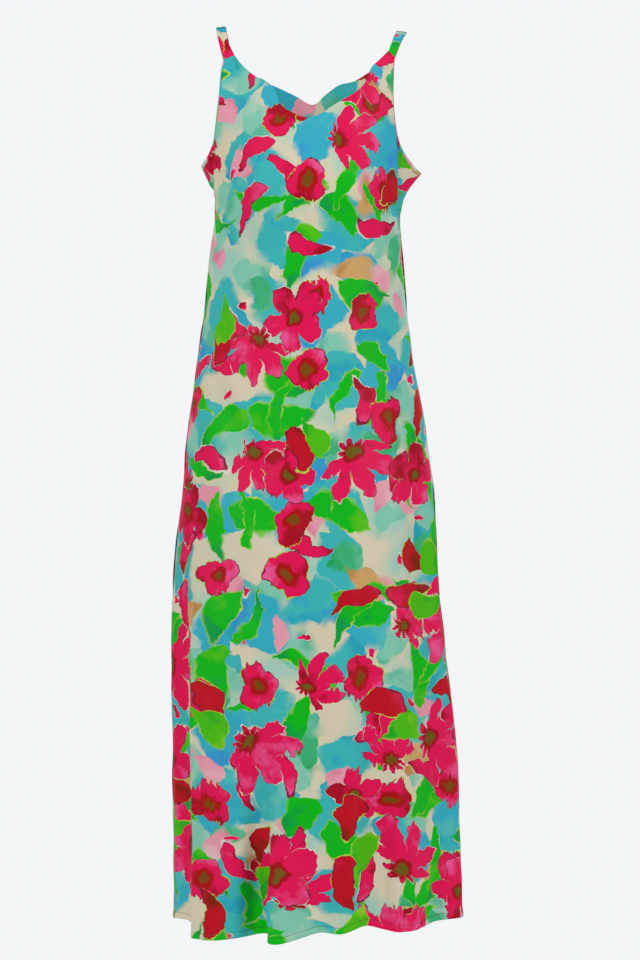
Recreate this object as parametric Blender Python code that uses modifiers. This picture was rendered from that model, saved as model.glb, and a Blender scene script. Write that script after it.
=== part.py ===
"""A maxi slip sundress of printed satin, hollow, as a wearer fills it out.

Metres, +Z up. The front faces -Y, and +X is to the right as the front is seen. The origin lies at the
shoulders, midway between the tops of the two straps, and the dress hangs down from it. The tables are
in millimetres and give depth below the shoulders as a positive number.
"""

import math
from collections.abc import Sequence
from typing import NamedTuple

import bpy
from mathutils import Vector

MM = 0.001

Colour = tuple[float, float, float]
Rows = Sequence[Sequence[Vector]]

# Cloth walls and the gaps left where pieces are sewn to each other, in mm.
CLOTH_WALL = 1.6
STRAP_WALL = 1.6
BINDING_WALL = 1.0
BINDING_WIDTH = 6.0
SEAM_GAP = 0.3
BINDING_LIFT = 0.45
STRAP_SEAM_GAP = 0.9

# Mesh divisions of a panel from side seam to side seam and from top edge to hem.
ARMHOLE_COLUMNS = 10
STRAP_COLUMNS = 2
NECK_COLUMNS = 20
YOKE_ROWS = 7
SKIRT_ROWS = 22
STRAP_ROWS = 16

# The first column beside a side seam, as a share of the armhole and in degrees round the body.
SEAM_COLUMN_SHARE = 0.02
SEAM_COLUMN_TURN = 2.0

# The bust line, where the shaped yoke passes into the hanging skirt.
BUST_LINE_DOWN = 300.0


class Section(NamedTuple):
    """A level of the dress: its reach from the middle to each side, to the front and to the back."""

    down: float
    left: float
    right: float
    front: float
    back: float


SECTIONS = (
    Section(down=300, left=144, right=132, front=109, back=92),
    Section(down=350, left=151, right=136, front=108, back=88),
    Section(down=420, left=158, right=142, front=109, back=90),
    Section(down=500, left=169, right=151, front=113, back=99),
    Section(down=600, left=182, right=170, front=119, back=110),
    Section(down=700, left=192, right=183, front=127, back=120),
    Section(down=810, left=203, right=188, front=134, back=130),
    Section(down=920, left=206, right=198, front=140, back=136),
    Section(down=1060, left=205, right=214, front=145, back=142),
    Section(down=1200, left=203, right=220, front=149, back=146),
    Section(down=1340, left=203, right=226, front=152, back=149),
)


class Hem(NamedTuple):
    """How far down the hem lies at an angle round the body, in degrees from the front, right positive."""

    turn: float
    down: float


HEM = (
    Hem(turn=-90, down=1320),
    Hem(turn=-76, down=1316),
    Hem(turn=-66, down=1320),
    Hem(turn=-56, down=1333),
    Hem(turn=-44, down=1337),
    Hem(turn=-30, down=1330),
    Hem(turn=-19, down=1325),
    Hem(turn=-12, down=1336),
    Hem(turn=3, down=1321),
    Hem(turn=11, down=1322),
    Hem(turn=20, down=1312),
    Hem(turn=33, down=1322),
    Hem(turn=60, down=1313),
    Hem(turn=90, down=1314),
    Hem(turn=122, down=1326),
    Hem(turn=150, down=1320),
    Hem(turn=176, down=1328),
    Hem(turn=205, down=1319),
    Hem(turn=235, down=1328),
    Hem(turn=270, down=1320),
)


class Fold(NamedTuple):
    """A hanging fold. It rises (or sinks) from the section and its crest leans sideways round the body.

    turn and half_width are degrees round the body, starts and full are mm down, rise and lean are mm.
    """

    turn: float
    half_width: float
    rise: float
    lean: float
    starts: float
    full: float


FOLDS = (
    Fold(turn=-50, half_width=13, rise=8, lean=-3, starts=720, full=980),
    Fold(turn=-68, half_width=12, rise=-13, lean=0, starts=700, full=960),
    Fold(turn=-25, half_width=12, rise=-23, lean=3, starts=1000, full=1260),
    Fold(turn=-10, half_width=10, rise=15, lean=-8, starts=1060, full=1290),
    Fold(turn=3, half_width=10, rise=-7, lean=0, starts=960, full=1280),
    Fold(turn=14, half_width=10, rise=7, lean=0, starts=900, full=1300),
    Fold(turn=25, half_width=9, rise=-10, lean=0, starts=820, full=1290),
    Fold(turn=37, half_width=11, rise=9, lean=4, starts=700, full=1250),
    Fold(turn=56, half_width=11, rise=-9, lean=0, starts=560, full=800),
    Fold(turn=72, half_width=10, rise=7, lean=3, starts=600, full=900),
    Fold(turn=104, half_width=12, rise=-11, lean=0, starts=700, full=1200),
    Fold(turn=126, half_width=14, rise=14, lean=5, starts=620, full=1250),
    Fold(turn=149, half_width=13, rise=-13, lean=0, starts=560, full=1200),
    Fold(turn=176, half_width=15, rise=13, lean=-5, starts=480, full=1250),
    Fold(turn=203, half_width=13, rise=-14, lean=0, starts=640, full=1250),
    Fold(turn=228, half_width=14, rise=14, lean=-5, starts=580, full=1200),
    Fold(turn=252, half_width=12, rise=-10, lean=0, starts=760, full=1150),
)


class ArmholeRow(NamedTuple):
    """A place on an armhole edge: its share of the armhole's height above the underarm corner, how far
    in from that corner it lies on each side, and how far forward on the front and back on the back."""

    up: float
    inset_left: float
    inset_right: float
    forward: float
    backward: float


ARMHOLE = (
    ArmholeRow(up=0.0, inset_left=0.0, inset_right=0.0, forward=0, backward=0),
    ArmholeRow(up=0.03, inset_left=4.0, inset_right=7.0, forward=13, backward=13),
    ArmholeRow(up=0.10, inset_left=12.0, inset_right=18.0, forward=25, backward=25),
    ArmholeRow(up=0.21, inset_left=19.0, inset_right=31.0, forward=35, backward=36),
    ArmholeRow(up=0.34, inset_left=22.5, inset_right=39.0, forward=45, backward=47),
    ArmholeRow(up=0.50, inset_left=25.5, inset_right=42.5, forward=53, backward=56),
    ArmholeRow(up=0.70, inset_left=29.0, inset_right=44.0, forward=57, backward=61),
    ArmholeRow(up=0.88, inset_left=31.5, inset_right=43.0, forward=56, backward=60),
    ArmholeRow(up=1.0, inset_left=34.9, inset_right=42.1, forward=53, backward=56),
)


class NeckRow(NamedTuple):
    """A place on a neck edge: across the body, forward or back from its middle plane, and down."""

    across: float
    depth: float
    down: float


FRONT_NECK = (
    NeckRow(across=-111.8, depth=54, down=50.4),
    NeckRow(across=-102, depth=60, down=64),
    NeckRow(across=-83, depth=70, down=82),
    NeckRow(across=-66, depth=78, down=91),
    NeckRow(across=-54, depth=83, down=103),
    NeckRow(across=-44, depth=87, down=126),
    NeckRow(across=-30, depth=90, down=137),
    NeckRow(across=-6, depth=93, down=146),
    NeckRow(across=14, depth=92, down=140),
    NeckRow(across=32, depth=90, down=128),
    NeckRow(across=62, depth=84, down=110),
    NeckRow(across=78, depth=77, down=95),
    NeckRow(across=88, depth=68, down=71),
    NeckRow(across=100, depth=60, down=58),
    NeckRow(across=114, depth=53, down=43.7),
)

BACK_NECK = (
    NeckRow(across=-112, depth=57, down=50),
    NeckRow(across=-90, depth=70, down=67),
    NeckRow(across=-58, depth=81, down=78),
    NeckRow(across=-26, depth=87, down=92),
    NeckRow(across=3, depth=89, down=106),
    NeckRow(across=22, depth=87, down=91),
    NeckRow(across=42, depth=85, down=77),
    NeckRow(across=64, depth=80, down=72),
    NeckRow(across=86, depth=73, down=60),
    NeckRow(across=113, depth=57, down=46),
)


class StrapRung(NamedTuple):
    """A rung of a strap, from its inner to its outer edge. depth is towards the back."""

    depth: float
    inner_down: float
    outer_down: float
    inner: float
    outer: float


STRAP_LEFT = (
    StrapRung(depth=-53, inner_down=50.4, outer_down=56.0, inner=111.8, outer=127.9),
    StrapRung(depth=-45, inner_down=32.0, outer_down=34.0, inner=120.2, outer=134.4),
    StrapRung(depth=-25, inner_down=10.5, outer_down=12.0, inner=124.6, outer=138.6),
    StrapRung(depth=0, inner_down=0.2, outer_down=2.2, inner=125.8, outer=140.6),
    StrapRung(depth=25, inner_down=10.0, outer_down=12.0, inner=124.4, outer=139.2),
    StrapRung(depth=46, inner_down=31.0, outer_down=34.0, inner=119.6, outer=134.2),
    StrapRung(depth=56.5, inner_down=50.0, outer_down=53.0, inner=112.0, outer=127.9),
)

STRAP_RIGHT = (
    StrapRung(depth=-53, inner_down=43.7, outer_down=53.0, inner=114.0, outer=122.2),
    StrapRung(depth=-45, inner_down=30.0, outer_down=35.5, inner=118.6, outer=129.4),
    StrapRung(depth=-25, inner_down=14.5, outer_down=17.0, inner=123.8, outer=137.8),
    StrapRung(depth=0, inner_down=7.0, outer_down=9.0, inner=126.5, outer=142.1),
    StrapRung(depth=25, inner_down=15.0, outer_down=18.0, inner=122.0, outer=135.5),
    StrapRung(depth=46, inner_down=31.0, outer_down=36.5, inner=116.8, outer=127.4),
    StrapRung(depth=56.5, inner_down=46.0, outer_down=53.0, inner=113.0, outer=122.2),
)

# The underarm corners, where armhole and side seam meet: across the body and down.
CORNER_LEFT = (-162.8, 207.3)
CORNER_RIGHT = (164.3, 219.1)
ARMHOLE_TOP_LEFT_DOWN = 56.0
ARMHOLE_TOP_RIGHT_DOWN = 53.0

# The two cups that the front's cut shapes over the bust.
CUP_ACROSS = 72.0
CUP_DOWN = 246.0
CUP_HALF_WIDTH = 47.0
CUP_HALF_HEIGHT = 52.0
CUP_RISE = 16.0

# The armhole wings lie flat: the cloth leaves its top edge on this much more of a slant. It comes down
# to the bust line with this much of a straight line's pull.
TOP_EDGE_SLANT = 2.0
BUST_LINE_PULL = 1.5

# The share of a strap over which the direction of its ends is taken.
STRAP_END_SHARE = 0.05

# The step of column and level over which the cloth's normal is taken.
NORMAL_STEP = 0.01

# Plain colours and finish of the cloth, linear.
FRONT_COLOUR = (0.80, 0.13, 0.30)
BACK_COLOUR = (0.22, 0.62, 0.66)
STRAP_COLOUR = (0.12, 0.62, 0.10)
BINDING_COLOUR = (0.72, 0.66, 0.50)
CLOTH_ROUGHNESS = 0.5


def read_table(rows: Sequence[NamedTuple], at: float) -> NamedTuple:
    """The columns of a table at a value of its first one, on a smooth curve through its rows."""
    here = 0
    while here < len(rows) - 2 and at > rows[here + 1][0]:
        here += 1

    def slope(index: int, column: int) -> float:
        before = rows[max(index - 1, 0)]
        after = rows[min(index + 1, len(rows) - 1)]
        return (after[column] - before[column]) / (after[0] - before[0])

    low, high = rows[here], rows[here + 1]
    span = high[0] - low[0]
    share = (at - low[0]) / span
    values = [at]
    for column in range(1, len(low)):
        start, end = slope(here, column) * span, slope(here + 1, column) * span
        values.append(hermite(low[column], start, high[column], end, share))
    return type(low)(*values)


def hermite(first, first_slope, last, last_slope, share: float):
    """A cubic from one value to another with the slope that each end gives."""
    squared, cubed = share**2, share**3
    return (
        first * (2 * cubed - 3 * squared + 1)
        + first_slope * (cubed - 2 * squared + share)
        + last * (3 * squared - 2 * cubed)
        + last_slope * (cubed - squared)
    )


class Waypoint(NamedTuple):
    """A place on a curve and the distance along the curve at which it is reached."""

    distance: float
    x: float
    y: float
    z: float


def along(points: Sequence[Vector], share: float) -> Vector:
    """The place at a share of the way along a smooth curve through points."""
    reached = [0.0]
    for start, end in zip(points, points[1:]):
        reached.append(reached[-1] + (end - start).length)
    rows = [Waypoint(distance, *point) for distance, point in zip(reached, points)]
    return Vector(read_table(rows, share * reached[-1])[1:])


def ramp(value: float, start: float, full: float) -> float:
    """0 before start, 1 after full, and smooth between."""
    share = min(max((value - start) / (full - start), 0.0), 1.0)
    return share * share * (3 - 2 * share)


def cup_rise(across: float, down: float) -> float:
    """How far the bust cups stand forward at a place on the front."""
    rise = 0.0
    for centre in (-CUP_ACROSS, CUP_ACROSS):
        wide = (across - centre) / CUP_HALF_WIDTH
        high = (down - CUP_DOWN) / CUP_HALF_HEIGHT
        rise += CUP_RISE * math.exp(-(wide**2) - high**2)
    return rise


def skirt_point(turn: float, down: float) -> Vector:
    """A place on the outside of the cloth at or below the bust line, in mm."""
    section = read_table(SECTIONS, down)
    angle = math.radians(turn)
    side = section.right if math.sin(angle) > 0 else section.left
    depth = section.front if math.cos(angle) > 0 else section.back
    out = Vector((math.sin(angle) / side, -math.cos(angle) / depth, 0)).normalized()
    round_body = Vector((math.cos(angle) * side, math.sin(angle) * depth, 0)).normalized()
    point = Vector((side * math.sin(angle), -depth * math.cos(angle), -down))
    for fold in FOLDS:
        away = (turn - fold.turn) / fold.half_width
        if abs(away) < 1:
            strength = (1 + math.cos(math.pi * away)) / 2 * ramp(down, fold.starts, fold.full)
            point += strength * (fold.rise * out + fold.lean * round_body)
    return point


class Panel:
    """The front or the back of the dress, as a surface over columns round it and rows down it."""

    columns = 2 * ARMHOLE_COLUMNS + 2 * STRAP_COLUMNS + NECK_COLUMNS

    def __init__(self, is_front: bool) -> None:
        self.is_front = is_front
        self.sign = -1 if is_front else 1
        first = self.armhole("left" if is_front else "right")
        last = self.armhole("right" if is_front else "left")
        neck = [
            Vector((row.across, self.sign * row.depth, -row.down))
            for row in (FRONT_NECK if is_front else reversed(BACK_NECK))
        ]
        self.first_armhole = first
        self.neck = neck
        self.last_armhole = last

    def armhole(self, side: str) -> list[Vector]:
        """The armhole edge on one side, from the underarm corner up to the strap."""
        corner, top, way = (
            (CORNER_LEFT, ARMHOLE_TOP_LEFT_DOWN, 1)
            if side == "left"
            else (CORNER_RIGHT, ARMHOLE_TOP_RIGHT_DOWN, -1)
        )
        points = []
        for row in ARMHOLE:
            inset = row.inset_left if side == "left" else row.inset_right
            depth = row.forward if self.is_front else row.backward
            down = corner[1] - row.up * (corner[1] - top)
            points.append(Vector((corner[0] + way * inset, self.sign * depth, -down)))
        return points

    def turn(self, column: float) -> float:
        """The angle round the body at which a column crosses the bust line."""
        middle = self.columns / 2
        away = abs(column - middle)
        full = middle - 1
        from_centre = (
            away / full * (90 - SEAM_COLUMN_TURN)
            if away <= full
            else 90 - SEAM_COLUMN_TURN * (middle - away)
        )
        turn = math.copysign(from_centre, column - middle)
        return turn if self.is_front else 180 + turn

    def top(self, column: float) -> Vector:
        """The place where a column starts: on an armhole, a strap seam or the neck."""
        from_end = min(column, self.columns - column)
        near_first = column < self.columns / 2
        armhole = self.first_armhole if near_first else self.last_armhole
        if from_end <= 1:
            return along(armhole, SEAM_COLUMN_SHARE * from_end)
        if from_end <= ARMHOLE_COLUMNS:
            share = (from_end - 1) / (ARMHOLE_COLUMNS - 1)
            return along(armhole, SEAM_COLUMN_SHARE + (1 - SEAM_COLUMN_SHARE) * share)
        if from_end <= ARMHOLE_COLUMNS + STRAP_COLUMNS:
            inner = self.neck[0] if near_first else self.neck[-1]
            return armhole[-1].lerp(inner, (from_end - ARMHOLE_COLUMNS) / STRAP_COLUMNS)
        return along(self.neck, (column - ARMHOLE_COLUMNS - STRAP_COLUMNS) / NECK_COLUMNS)

    def point(self, column: float, level: float) -> Vector:
        """A place on the outside of the cloth. level is 0 at the top edge, 1 at the bust line and 2
        at the hem."""
        turn = self.turn(column)
        if level >= 1:
            hem = read_table(HEM, turn).down
            place = skirt_point(turn, BUST_LINE_DOWN + (level - 1) * (hem - BUST_LINE_DOWN))
        else:
            place = self.yoke_point(column, turn, level)
        if self.is_front:
            place.y -= cup_rise(place.x, -place.z)
        return place

    def yoke_point(self, column: float, turn: float, level: float) -> Vector:
        """A place between the top edge and the bust line, before the cups."""
        top, bust = self.top(column), skirt_point(turn, BUST_LINE_DOWN)
        below = skirt_point(turn, BUST_LINE_DOWN + 1)
        reach = (bust - top).length
        slant = bust - top
        slant.x *= TOP_EDGE_SLANT
        slant.y *= TOP_EDGE_SLANT
        leaving = slant.normalized() * reach
        arriving = (below - bust).normalized() * reach * BUST_LINE_PULL
        return hermite(top, leaving, bust, arriving, level)

    def normal(self, column: float, level: float) -> Vector:
        """The direction out of the cloth, away from the body."""
        left, right = max(column - NORMAL_STEP, 0), min(column + NORMAL_STEP, self.columns)
        above, below = max(level - NORMAL_STEP, 0), min(level + NORMAL_STEP, 2)
        across = self.point(right, level) - self.point(left, level)
        down = self.point(column, below) - self.point(column, above)
        return down.cross(across).normalized()


def cloth_material(name: str, colour: Colour) -> bpy.types.Material:
    """A Principled material for a piece of cloth."""
    material = bpy.data.materials.new(name)
    material.use_nodes = True
    shader = material.node_tree.nodes["Principled BSDF"]
    shader.inputs["Base Color"].default_value = (*colour, 1)
    shader.inputs["Roughness"].default_value = CLOTH_ROUGHNESS
    shader.inputs["Metallic"].default_value = 0
    return material


def cloth_piece(
    name: str,
    rows: Rows,
    wall: float,
    offset: int,
    colour: Colour,
    collection: bpy.types.Collection,
) -> bpy.types.Object:
    """A sheet of cloth lofted through rows of places in mm, given its wall by Solidify.

    offset is -1 where the rows are the outside of the wall, and 1 where they are its inside.
    """
    wide = len(rows[0])
    vertices = [point * MM for row in rows for point in row]
    faces = [
        (
            row * wide + column,
            (row + 1) * wide + column,
            (row + 1) * wide + column + 1,
            row * wide + column + 1,
        )
        for row in range(len(rows) - 1)
        for column in range(wide - 1)
    ]
    mesh = bpy.data.meshes.new(name)
    mesh.from_pydata(vertices, [], faces)
    mesh.shade_smooth()
    piece = bpy.data.objects.new(name, mesh)
    collection.objects.link(piece)
    mesh.materials.append(cloth_material(name + "_cloth", colour))
    solidify = piece.modifiers.new("Wall", "SOLIDIFY")
    solidify.thickness = wall * MM
    solidify.offset = offset
    return piece


def trim_at_side_seams(piece: bpy.types.Object, is_front: bool) -> None:
    """Applies the wall and squares its side edges, so that front and back part by the seam gap."""
    graph = bpy.context.evaluated_depsgraph_get()
    walled = bpy.data.meshes.new_from_object(piece.evaluated_get(graph))
    piece.modifiers.clear()
    piece.data = walled
    limit = SEAM_GAP / 2 * MM
    for vertex in walled.vertices:
        if is_front:
            vertex.co.y = min(vertex.co.y, -limit)
        else:
            vertex.co.y = max(vertex.co.y, limit)


def add_panel(
    name: str, panel: Panel, colour: Colour, collection: bpy.types.Collection
) -> None:
    """The front or the back, from its top edge down to the hem."""
    levels = [row / YOKE_ROWS for row in range(YOKE_ROWS)]
    levels += [1 + row / SKIRT_ROWS for row in range(SKIRT_ROWS + 1)]
    rows = [
        [panel.point(column, level) for column in range(panel.columns + 1)] for level in levels
    ]
    piece = cloth_piece(name, rows, CLOTH_WALL, -1, colour, collection)
    trim_at_side_seams(piece, panel.is_front)


def add_strap(
    name: str,
    rungs: Sequence[StrapRung],
    side: int,
    colour: Colour,
    collection: bpy.types.Collection,
) -> None:
    """A strap from its seam on the front, over the shoulder, to its seam on the back.

    side is -1 for the strap on the left and 1 for the one on the right.
    """
    inner = [Vector((side * rung.inner, rung.depth, -rung.inner_down)) for rung in rungs]
    outer = [Vector((side * rung.outer, rung.depth, -rung.outer_down)) for rung in rungs]
    rows = []
    for row in range(STRAP_ROWS + 1):
        share = row / STRAP_ROWS
        edges = [along(inner, share), along(outer, share)]
        if row in (0, STRAP_ROWS):
            inwards = STRAP_END_SHARE if row == 0 else -STRAP_END_SHARE
            for index, edge in enumerate((inner, outer)):
                away = (along(edge, share + inwards) - edges[index]).normalized()
                edges[index] += away * STRAP_SEAM_GAP
        first, last = edges if side < 0 else reversed(edges)
        rows.append([first, first.lerp(last, 0.5), last])
    cloth_piece(name, rows, STRAP_WALL, -1, colour, collection)


def add_binding(
    name: str,
    panels: tuple[Panel, Panel],
    side: str,
    colour: Colour,
    collection: bpy.types.Collection,
) -> None:
    """The strip round an armhole edge, from the front strap seam under the arm to the back one."""
    front, back = panels
    steps = range(ARMHOLE_COLUMNS, -1, -1)
    places = [(front, step if side == "left" else front.columns - step) for step in steps]
    steps = range(ARMHOLE_COLUMNS + 1)
    places += [(back, back.columns - step if side == "left" else step) for step in steps]
    edge, inner = [], []
    for panel, column in places:
        first, second = panel.point(column, 0), panel.point(column, 1 / YOKE_ROWS)
        out = panel.normal(column, 0)
        if column in (0, panel.columns):
            out.y = 0
            out.normalize()
        edge.append(first + out * BINDING_LIFT)
        inner.append(edge[-1] + (second - first).normalized() * BINDING_WIDTH)
    seam = ARMHOLE_COLUMNS
    for line in (edge, inner):
        line[seam : seam + 2] = [line[seam].lerp(line[seam + 1], 0.5)]
    rows = [edge, inner] if side == "right" else [inner, edge]
    cloth_piece(name, rows, BINDING_WALL, 1, colour, collection)


def main() -> None:
    """Builds the six cut pieces of the dress in their own collection."""
    for existing in list(bpy.data.objects):
        bpy.data.objects.remove(existing, do_unlink=True)
    collection = bpy.data.collections.new("sundress")
    bpy.context.scene.collection.children.link(collection)
    front, back = Panel(is_front=True), Panel(is_front=False)
    add_panel("front", front, FRONT_COLOUR, collection)
    add_panel("back", back, BACK_COLOUR, collection)
    add_strap("strap_left", STRAP_LEFT, -1, STRAP_COLOUR, collection)
    add_strap("strap_right", STRAP_RIGHT, 1, STRAP_COLOUR, collection)
    for side in ("left", "right"):
        add_binding("binding_" + side, (front, back), side, BINDING_COLOUR, collection)


main()
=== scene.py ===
"""The looks of a maxi slip sundress in printed satin, filled out as it is worn.

Metres, +Z up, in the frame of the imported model. The front faces -Y and +X is to the right as the front is
seen. The cut of the cloth is worked out in millimetres, with depth below the shoulders as a positive
number, and each piece is turned to metres as its mesh is made.
"""

import logging
import math
from collections.abc import Mapping, Sequence
from dataclasses import dataclass
from enum import Enum
from typing import NamedTuple

import bpy
import numpy as np
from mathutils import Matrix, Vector


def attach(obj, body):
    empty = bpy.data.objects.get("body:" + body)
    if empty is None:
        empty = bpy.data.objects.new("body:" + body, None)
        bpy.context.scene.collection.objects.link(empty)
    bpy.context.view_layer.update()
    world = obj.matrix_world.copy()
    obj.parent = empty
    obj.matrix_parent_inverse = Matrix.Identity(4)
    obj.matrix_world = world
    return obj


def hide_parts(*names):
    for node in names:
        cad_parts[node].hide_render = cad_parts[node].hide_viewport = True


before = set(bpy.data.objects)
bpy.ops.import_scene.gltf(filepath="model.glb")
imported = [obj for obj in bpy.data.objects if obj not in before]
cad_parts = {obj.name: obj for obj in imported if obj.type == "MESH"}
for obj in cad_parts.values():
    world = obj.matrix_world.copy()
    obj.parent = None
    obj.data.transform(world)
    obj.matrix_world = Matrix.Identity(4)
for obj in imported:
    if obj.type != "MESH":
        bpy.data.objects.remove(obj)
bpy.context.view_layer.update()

log = logging.getLogger("sundress")

MM = 0.001
BODY = "root"

Socket = bpy.types.NodeSocket
Value = Socket | float | tuple[float, ...]
Places = np.ndarray


class Section(NamedTuple):
    """A level of the dress: its reach from the middle to each side, to the front and to the back."""

    down: float
    left: float
    right: float
    front: float
    back: float


SECTIONS = (
    Section(down=300, left=144, right=132, front=109, back=92),
    Section(down=350, left=151, right=136, front=108, back=88),
    Section(down=420, left=158, right=142, front=109, back=90),
    Section(down=500, left=169, right=151, front=113, back=99),
    Section(down=600, left=182, right=170, front=119, back=110),
    Section(down=700, left=192, right=183, front=127, back=120),
    Section(down=810, left=203, right=188, front=134, back=130),
    Section(down=920, left=206, right=198, front=140, back=136),
    Section(down=1060, left=205, right=214, front=145, back=142),
    Section(down=1200, left=203, right=220, front=149, back=146),
    Section(down=1340, left=203, right=226, front=152, back=149),
)


class Hem(NamedTuple):
    """How far down the hem lies at an angle round the body, in degrees from the front, right positive."""

    turn: float
    down: float


HEM = (
    Hem(turn=-90, down=1320),
    Hem(turn=-76, down=1316),
    Hem(turn=-66, down=1320),
    Hem(turn=-56, down=1333),
    Hem(turn=-44, down=1337),
    Hem(turn=-30, down=1330),
    Hem(turn=-19, down=1325),
    Hem(turn=-12, down=1336),
    Hem(turn=3, down=1321),
    Hem(turn=11, down=1322),
    Hem(turn=20, down=1312),
    Hem(turn=33, down=1322),
    Hem(turn=60, down=1313),
    Hem(turn=90, down=1314),
    Hem(turn=122, down=1326),
    Hem(turn=150, down=1320),
    Hem(turn=176, down=1328),
    Hem(turn=205, down=1319),
    Hem(turn=235, down=1328),
    Hem(turn=270, down=1320),
)


class Fold(NamedTuple):
    """A hanging fold. It rises (or sinks) from the section and its crest leans sideways round the body.

    turn and half_width are degrees round the body, starts and full are mm down, rise and lean are mm.
    """

    turn: float
    half_width: float
    rise: float
    lean: float
    starts: float
    full: float


FOLDS = (
    Fold(turn=-50, half_width=13, rise=8, lean=-3, starts=720, full=980),
    Fold(turn=-68, half_width=12, rise=-13, lean=0, starts=700, full=960),
    Fold(turn=-25, half_width=12, rise=-23, lean=3, starts=1000, full=1260),
    Fold(turn=-10, half_width=10, rise=15, lean=-8, starts=1060, full=1290),
    Fold(turn=3, half_width=10, rise=-7, lean=0, starts=960, full=1280),
    Fold(turn=14, half_width=10, rise=7, lean=0, starts=900, full=1300),
    Fold(turn=25, half_width=9, rise=-10, lean=0, starts=820, full=1290),
    Fold(turn=37, half_width=11, rise=9, lean=4, starts=700, full=1250),
    Fold(turn=56, half_width=11, rise=-9, lean=0, starts=560, full=800),
    Fold(turn=72, half_width=10, rise=7, lean=3, starts=600, full=900),
    Fold(turn=104, half_width=12, rise=-11, lean=0, starts=700, full=1200),
    Fold(turn=126, half_width=14, rise=14, lean=5, starts=620, full=1250),
    Fold(turn=149, half_width=13, rise=-13, lean=0, starts=560, full=1200),
    Fold(turn=176, half_width=15, rise=13, lean=-5, starts=480, full=1250),
    Fold(turn=203, half_width=13, rise=-14, lean=0, starts=640, full=1250),
    Fold(turn=228, half_width=14, rise=14, lean=-5, starts=580, full=1200),
    Fold(turn=252, half_width=12, rise=-10, lean=0, starts=760, full=1150),
)


class Lap(NamedTuple):
    """A sharp edge of a fold, where the cloth on its right laps over the cloth on its left.

    turn and half_width are degrees round the body, starts and full are mm down, step and over are mm:
    how far the lapping cloth stands out, and how far it reaches over.
    """

    turn: float
    half_width: float
    step: float
    over: float
    starts: float
    full: float


LAPS = (
    Lap(turn=-54.2, half_width=5.5, step=5.0, over=6.0, starts=760, full=930),
    Lap(turn=-16.5, half_width=5.0, step=7.0, over=6.0, starts=1130, full=1290),
    Lap(turn=31, half_width=5.0, step=3.0, over=1.5, starts=900, full=1200),
    Lap(turn=138, half_width=6.0, step=5.0, over=5.0, starts=1000, full=1250),
    Lap(turn=214, half_width=6.0, step=5.0, over=4.5, starts=940, full=1240),
)


class CornerLap(NamedTuple):
    """The fold beside an underarm corner, where the body's cloth laps over the wing that sticks out there.

    across is where its edge is seen. It grows from starts_down to full_down and fades from fades_down to
    ends_down. step and over are how far the lapping cloth stands out, and how far it reaches over. All in
    mm.
    """

    across: float
    starts_down: float
    full_down: float
    fades_down: float
    ends_down: float
    half_width: float
    step: float
    over: float


CORNER_LAPS = (
    CornerLap(
        across=-141.5,
        starts_down=186,
        full_down=208,
        fades_down=240,
        ends_down=275,
        half_width=9.0,
        step=2.4,
        over=4.8,
    ),
    CornerLap(
        across=124.0,
        starts_down=168,
        full_down=190,
        fades_down=262,
        ends_down=305,
        half_width=9.0,
        step=2.6,
        over=5.2,
    ),
)


class ArmholeRow(NamedTuple):
    """A place on an armhole edge: its share of the armhole's height above the underarm corner, how far
    in from that corner it lies on each side, and how far forward on the front and back on the back."""

    up: float
    inset_left: float
    inset_right: float
    forward: float
    backward: float


ARMHOLE = (
    ArmholeRow(up=0.0, inset_left=0.0, inset_right=0.0, forward=0, backward=0),
    ArmholeRow(up=0.03, inset_left=4.0, inset_right=7.0, forward=13, backward=13),
    ArmholeRow(up=0.10, inset_left=12.0, inset_right=18.0, forward=25, backward=25),
    ArmholeRow(up=0.21, inset_left=19.0, inset_right=31.0, forward=35, backward=36),
    ArmholeRow(up=0.34, inset_left=22.5, inset_right=39.0, forward=45, backward=47),
    ArmholeRow(up=0.50, inset_left=25.5, inset_right=42.5, forward=53, backward=56),
    ArmholeRow(up=0.70, inset_left=29.0, inset_right=44.0, forward=57, backward=61),
    ArmholeRow(up=0.88, inset_left=31.5, inset_right=43.0, forward=56, backward=60),
    ArmholeRow(up=1.0, inset_left=34.9, inset_right=42.1, forward=53, backward=56),
)


class NeckRow(NamedTuple):
    """A place on a neck edge: across the body, forward or back from its middle plane, and down."""

    across: float
    depth: float
    down: float


FRONT_NECK = (
    NeckRow(across=-111.8, depth=54, down=50.4),
    NeckRow(across=-102, depth=60, down=64),
    NeckRow(across=-83, depth=70, down=82),
    NeckRow(across=-66, depth=78, down=91),
    NeckRow(across=-54, depth=83, down=103),
    NeckRow(across=-44, depth=87, down=126),
    NeckRow(across=-30, depth=90, down=137),
    NeckRow(across=-6, depth=93, down=146),
    NeckRow(across=14, depth=92, down=140),
    NeckRow(across=32, depth=90, down=128),
    NeckRow(across=62, depth=84, down=110),
    NeckRow(across=78, depth=77, down=95),
    NeckRow(across=88, depth=68, down=71),
    NeckRow(across=100, depth=60, down=58),
    NeckRow(across=114, depth=53, down=43.7),
)

BACK_NECK = (
    NeckRow(across=-112, depth=57, down=50),
    NeckRow(across=-90, depth=70, down=67),
    NeckRow(across=-58, depth=81, down=78),
    NeckRow(across=-26, depth=87, down=92),
    NeckRow(across=3, depth=89, down=106),
    NeckRow(across=22, depth=87, down=91),
    NeckRow(across=42, depth=85, down=77),
    NeckRow(across=64, depth=80, down=72),
    NeckRow(across=86, depth=73, down=60),
    NeckRow(across=113, depth=57, down=46),
)


class StrapRung(NamedTuple):
    """A rung of a strap, from its inner to its outer edge. depth is towards the back."""

    depth: float
    inner_down: float
    outer_down: float
    inner: float
    outer: float


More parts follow.
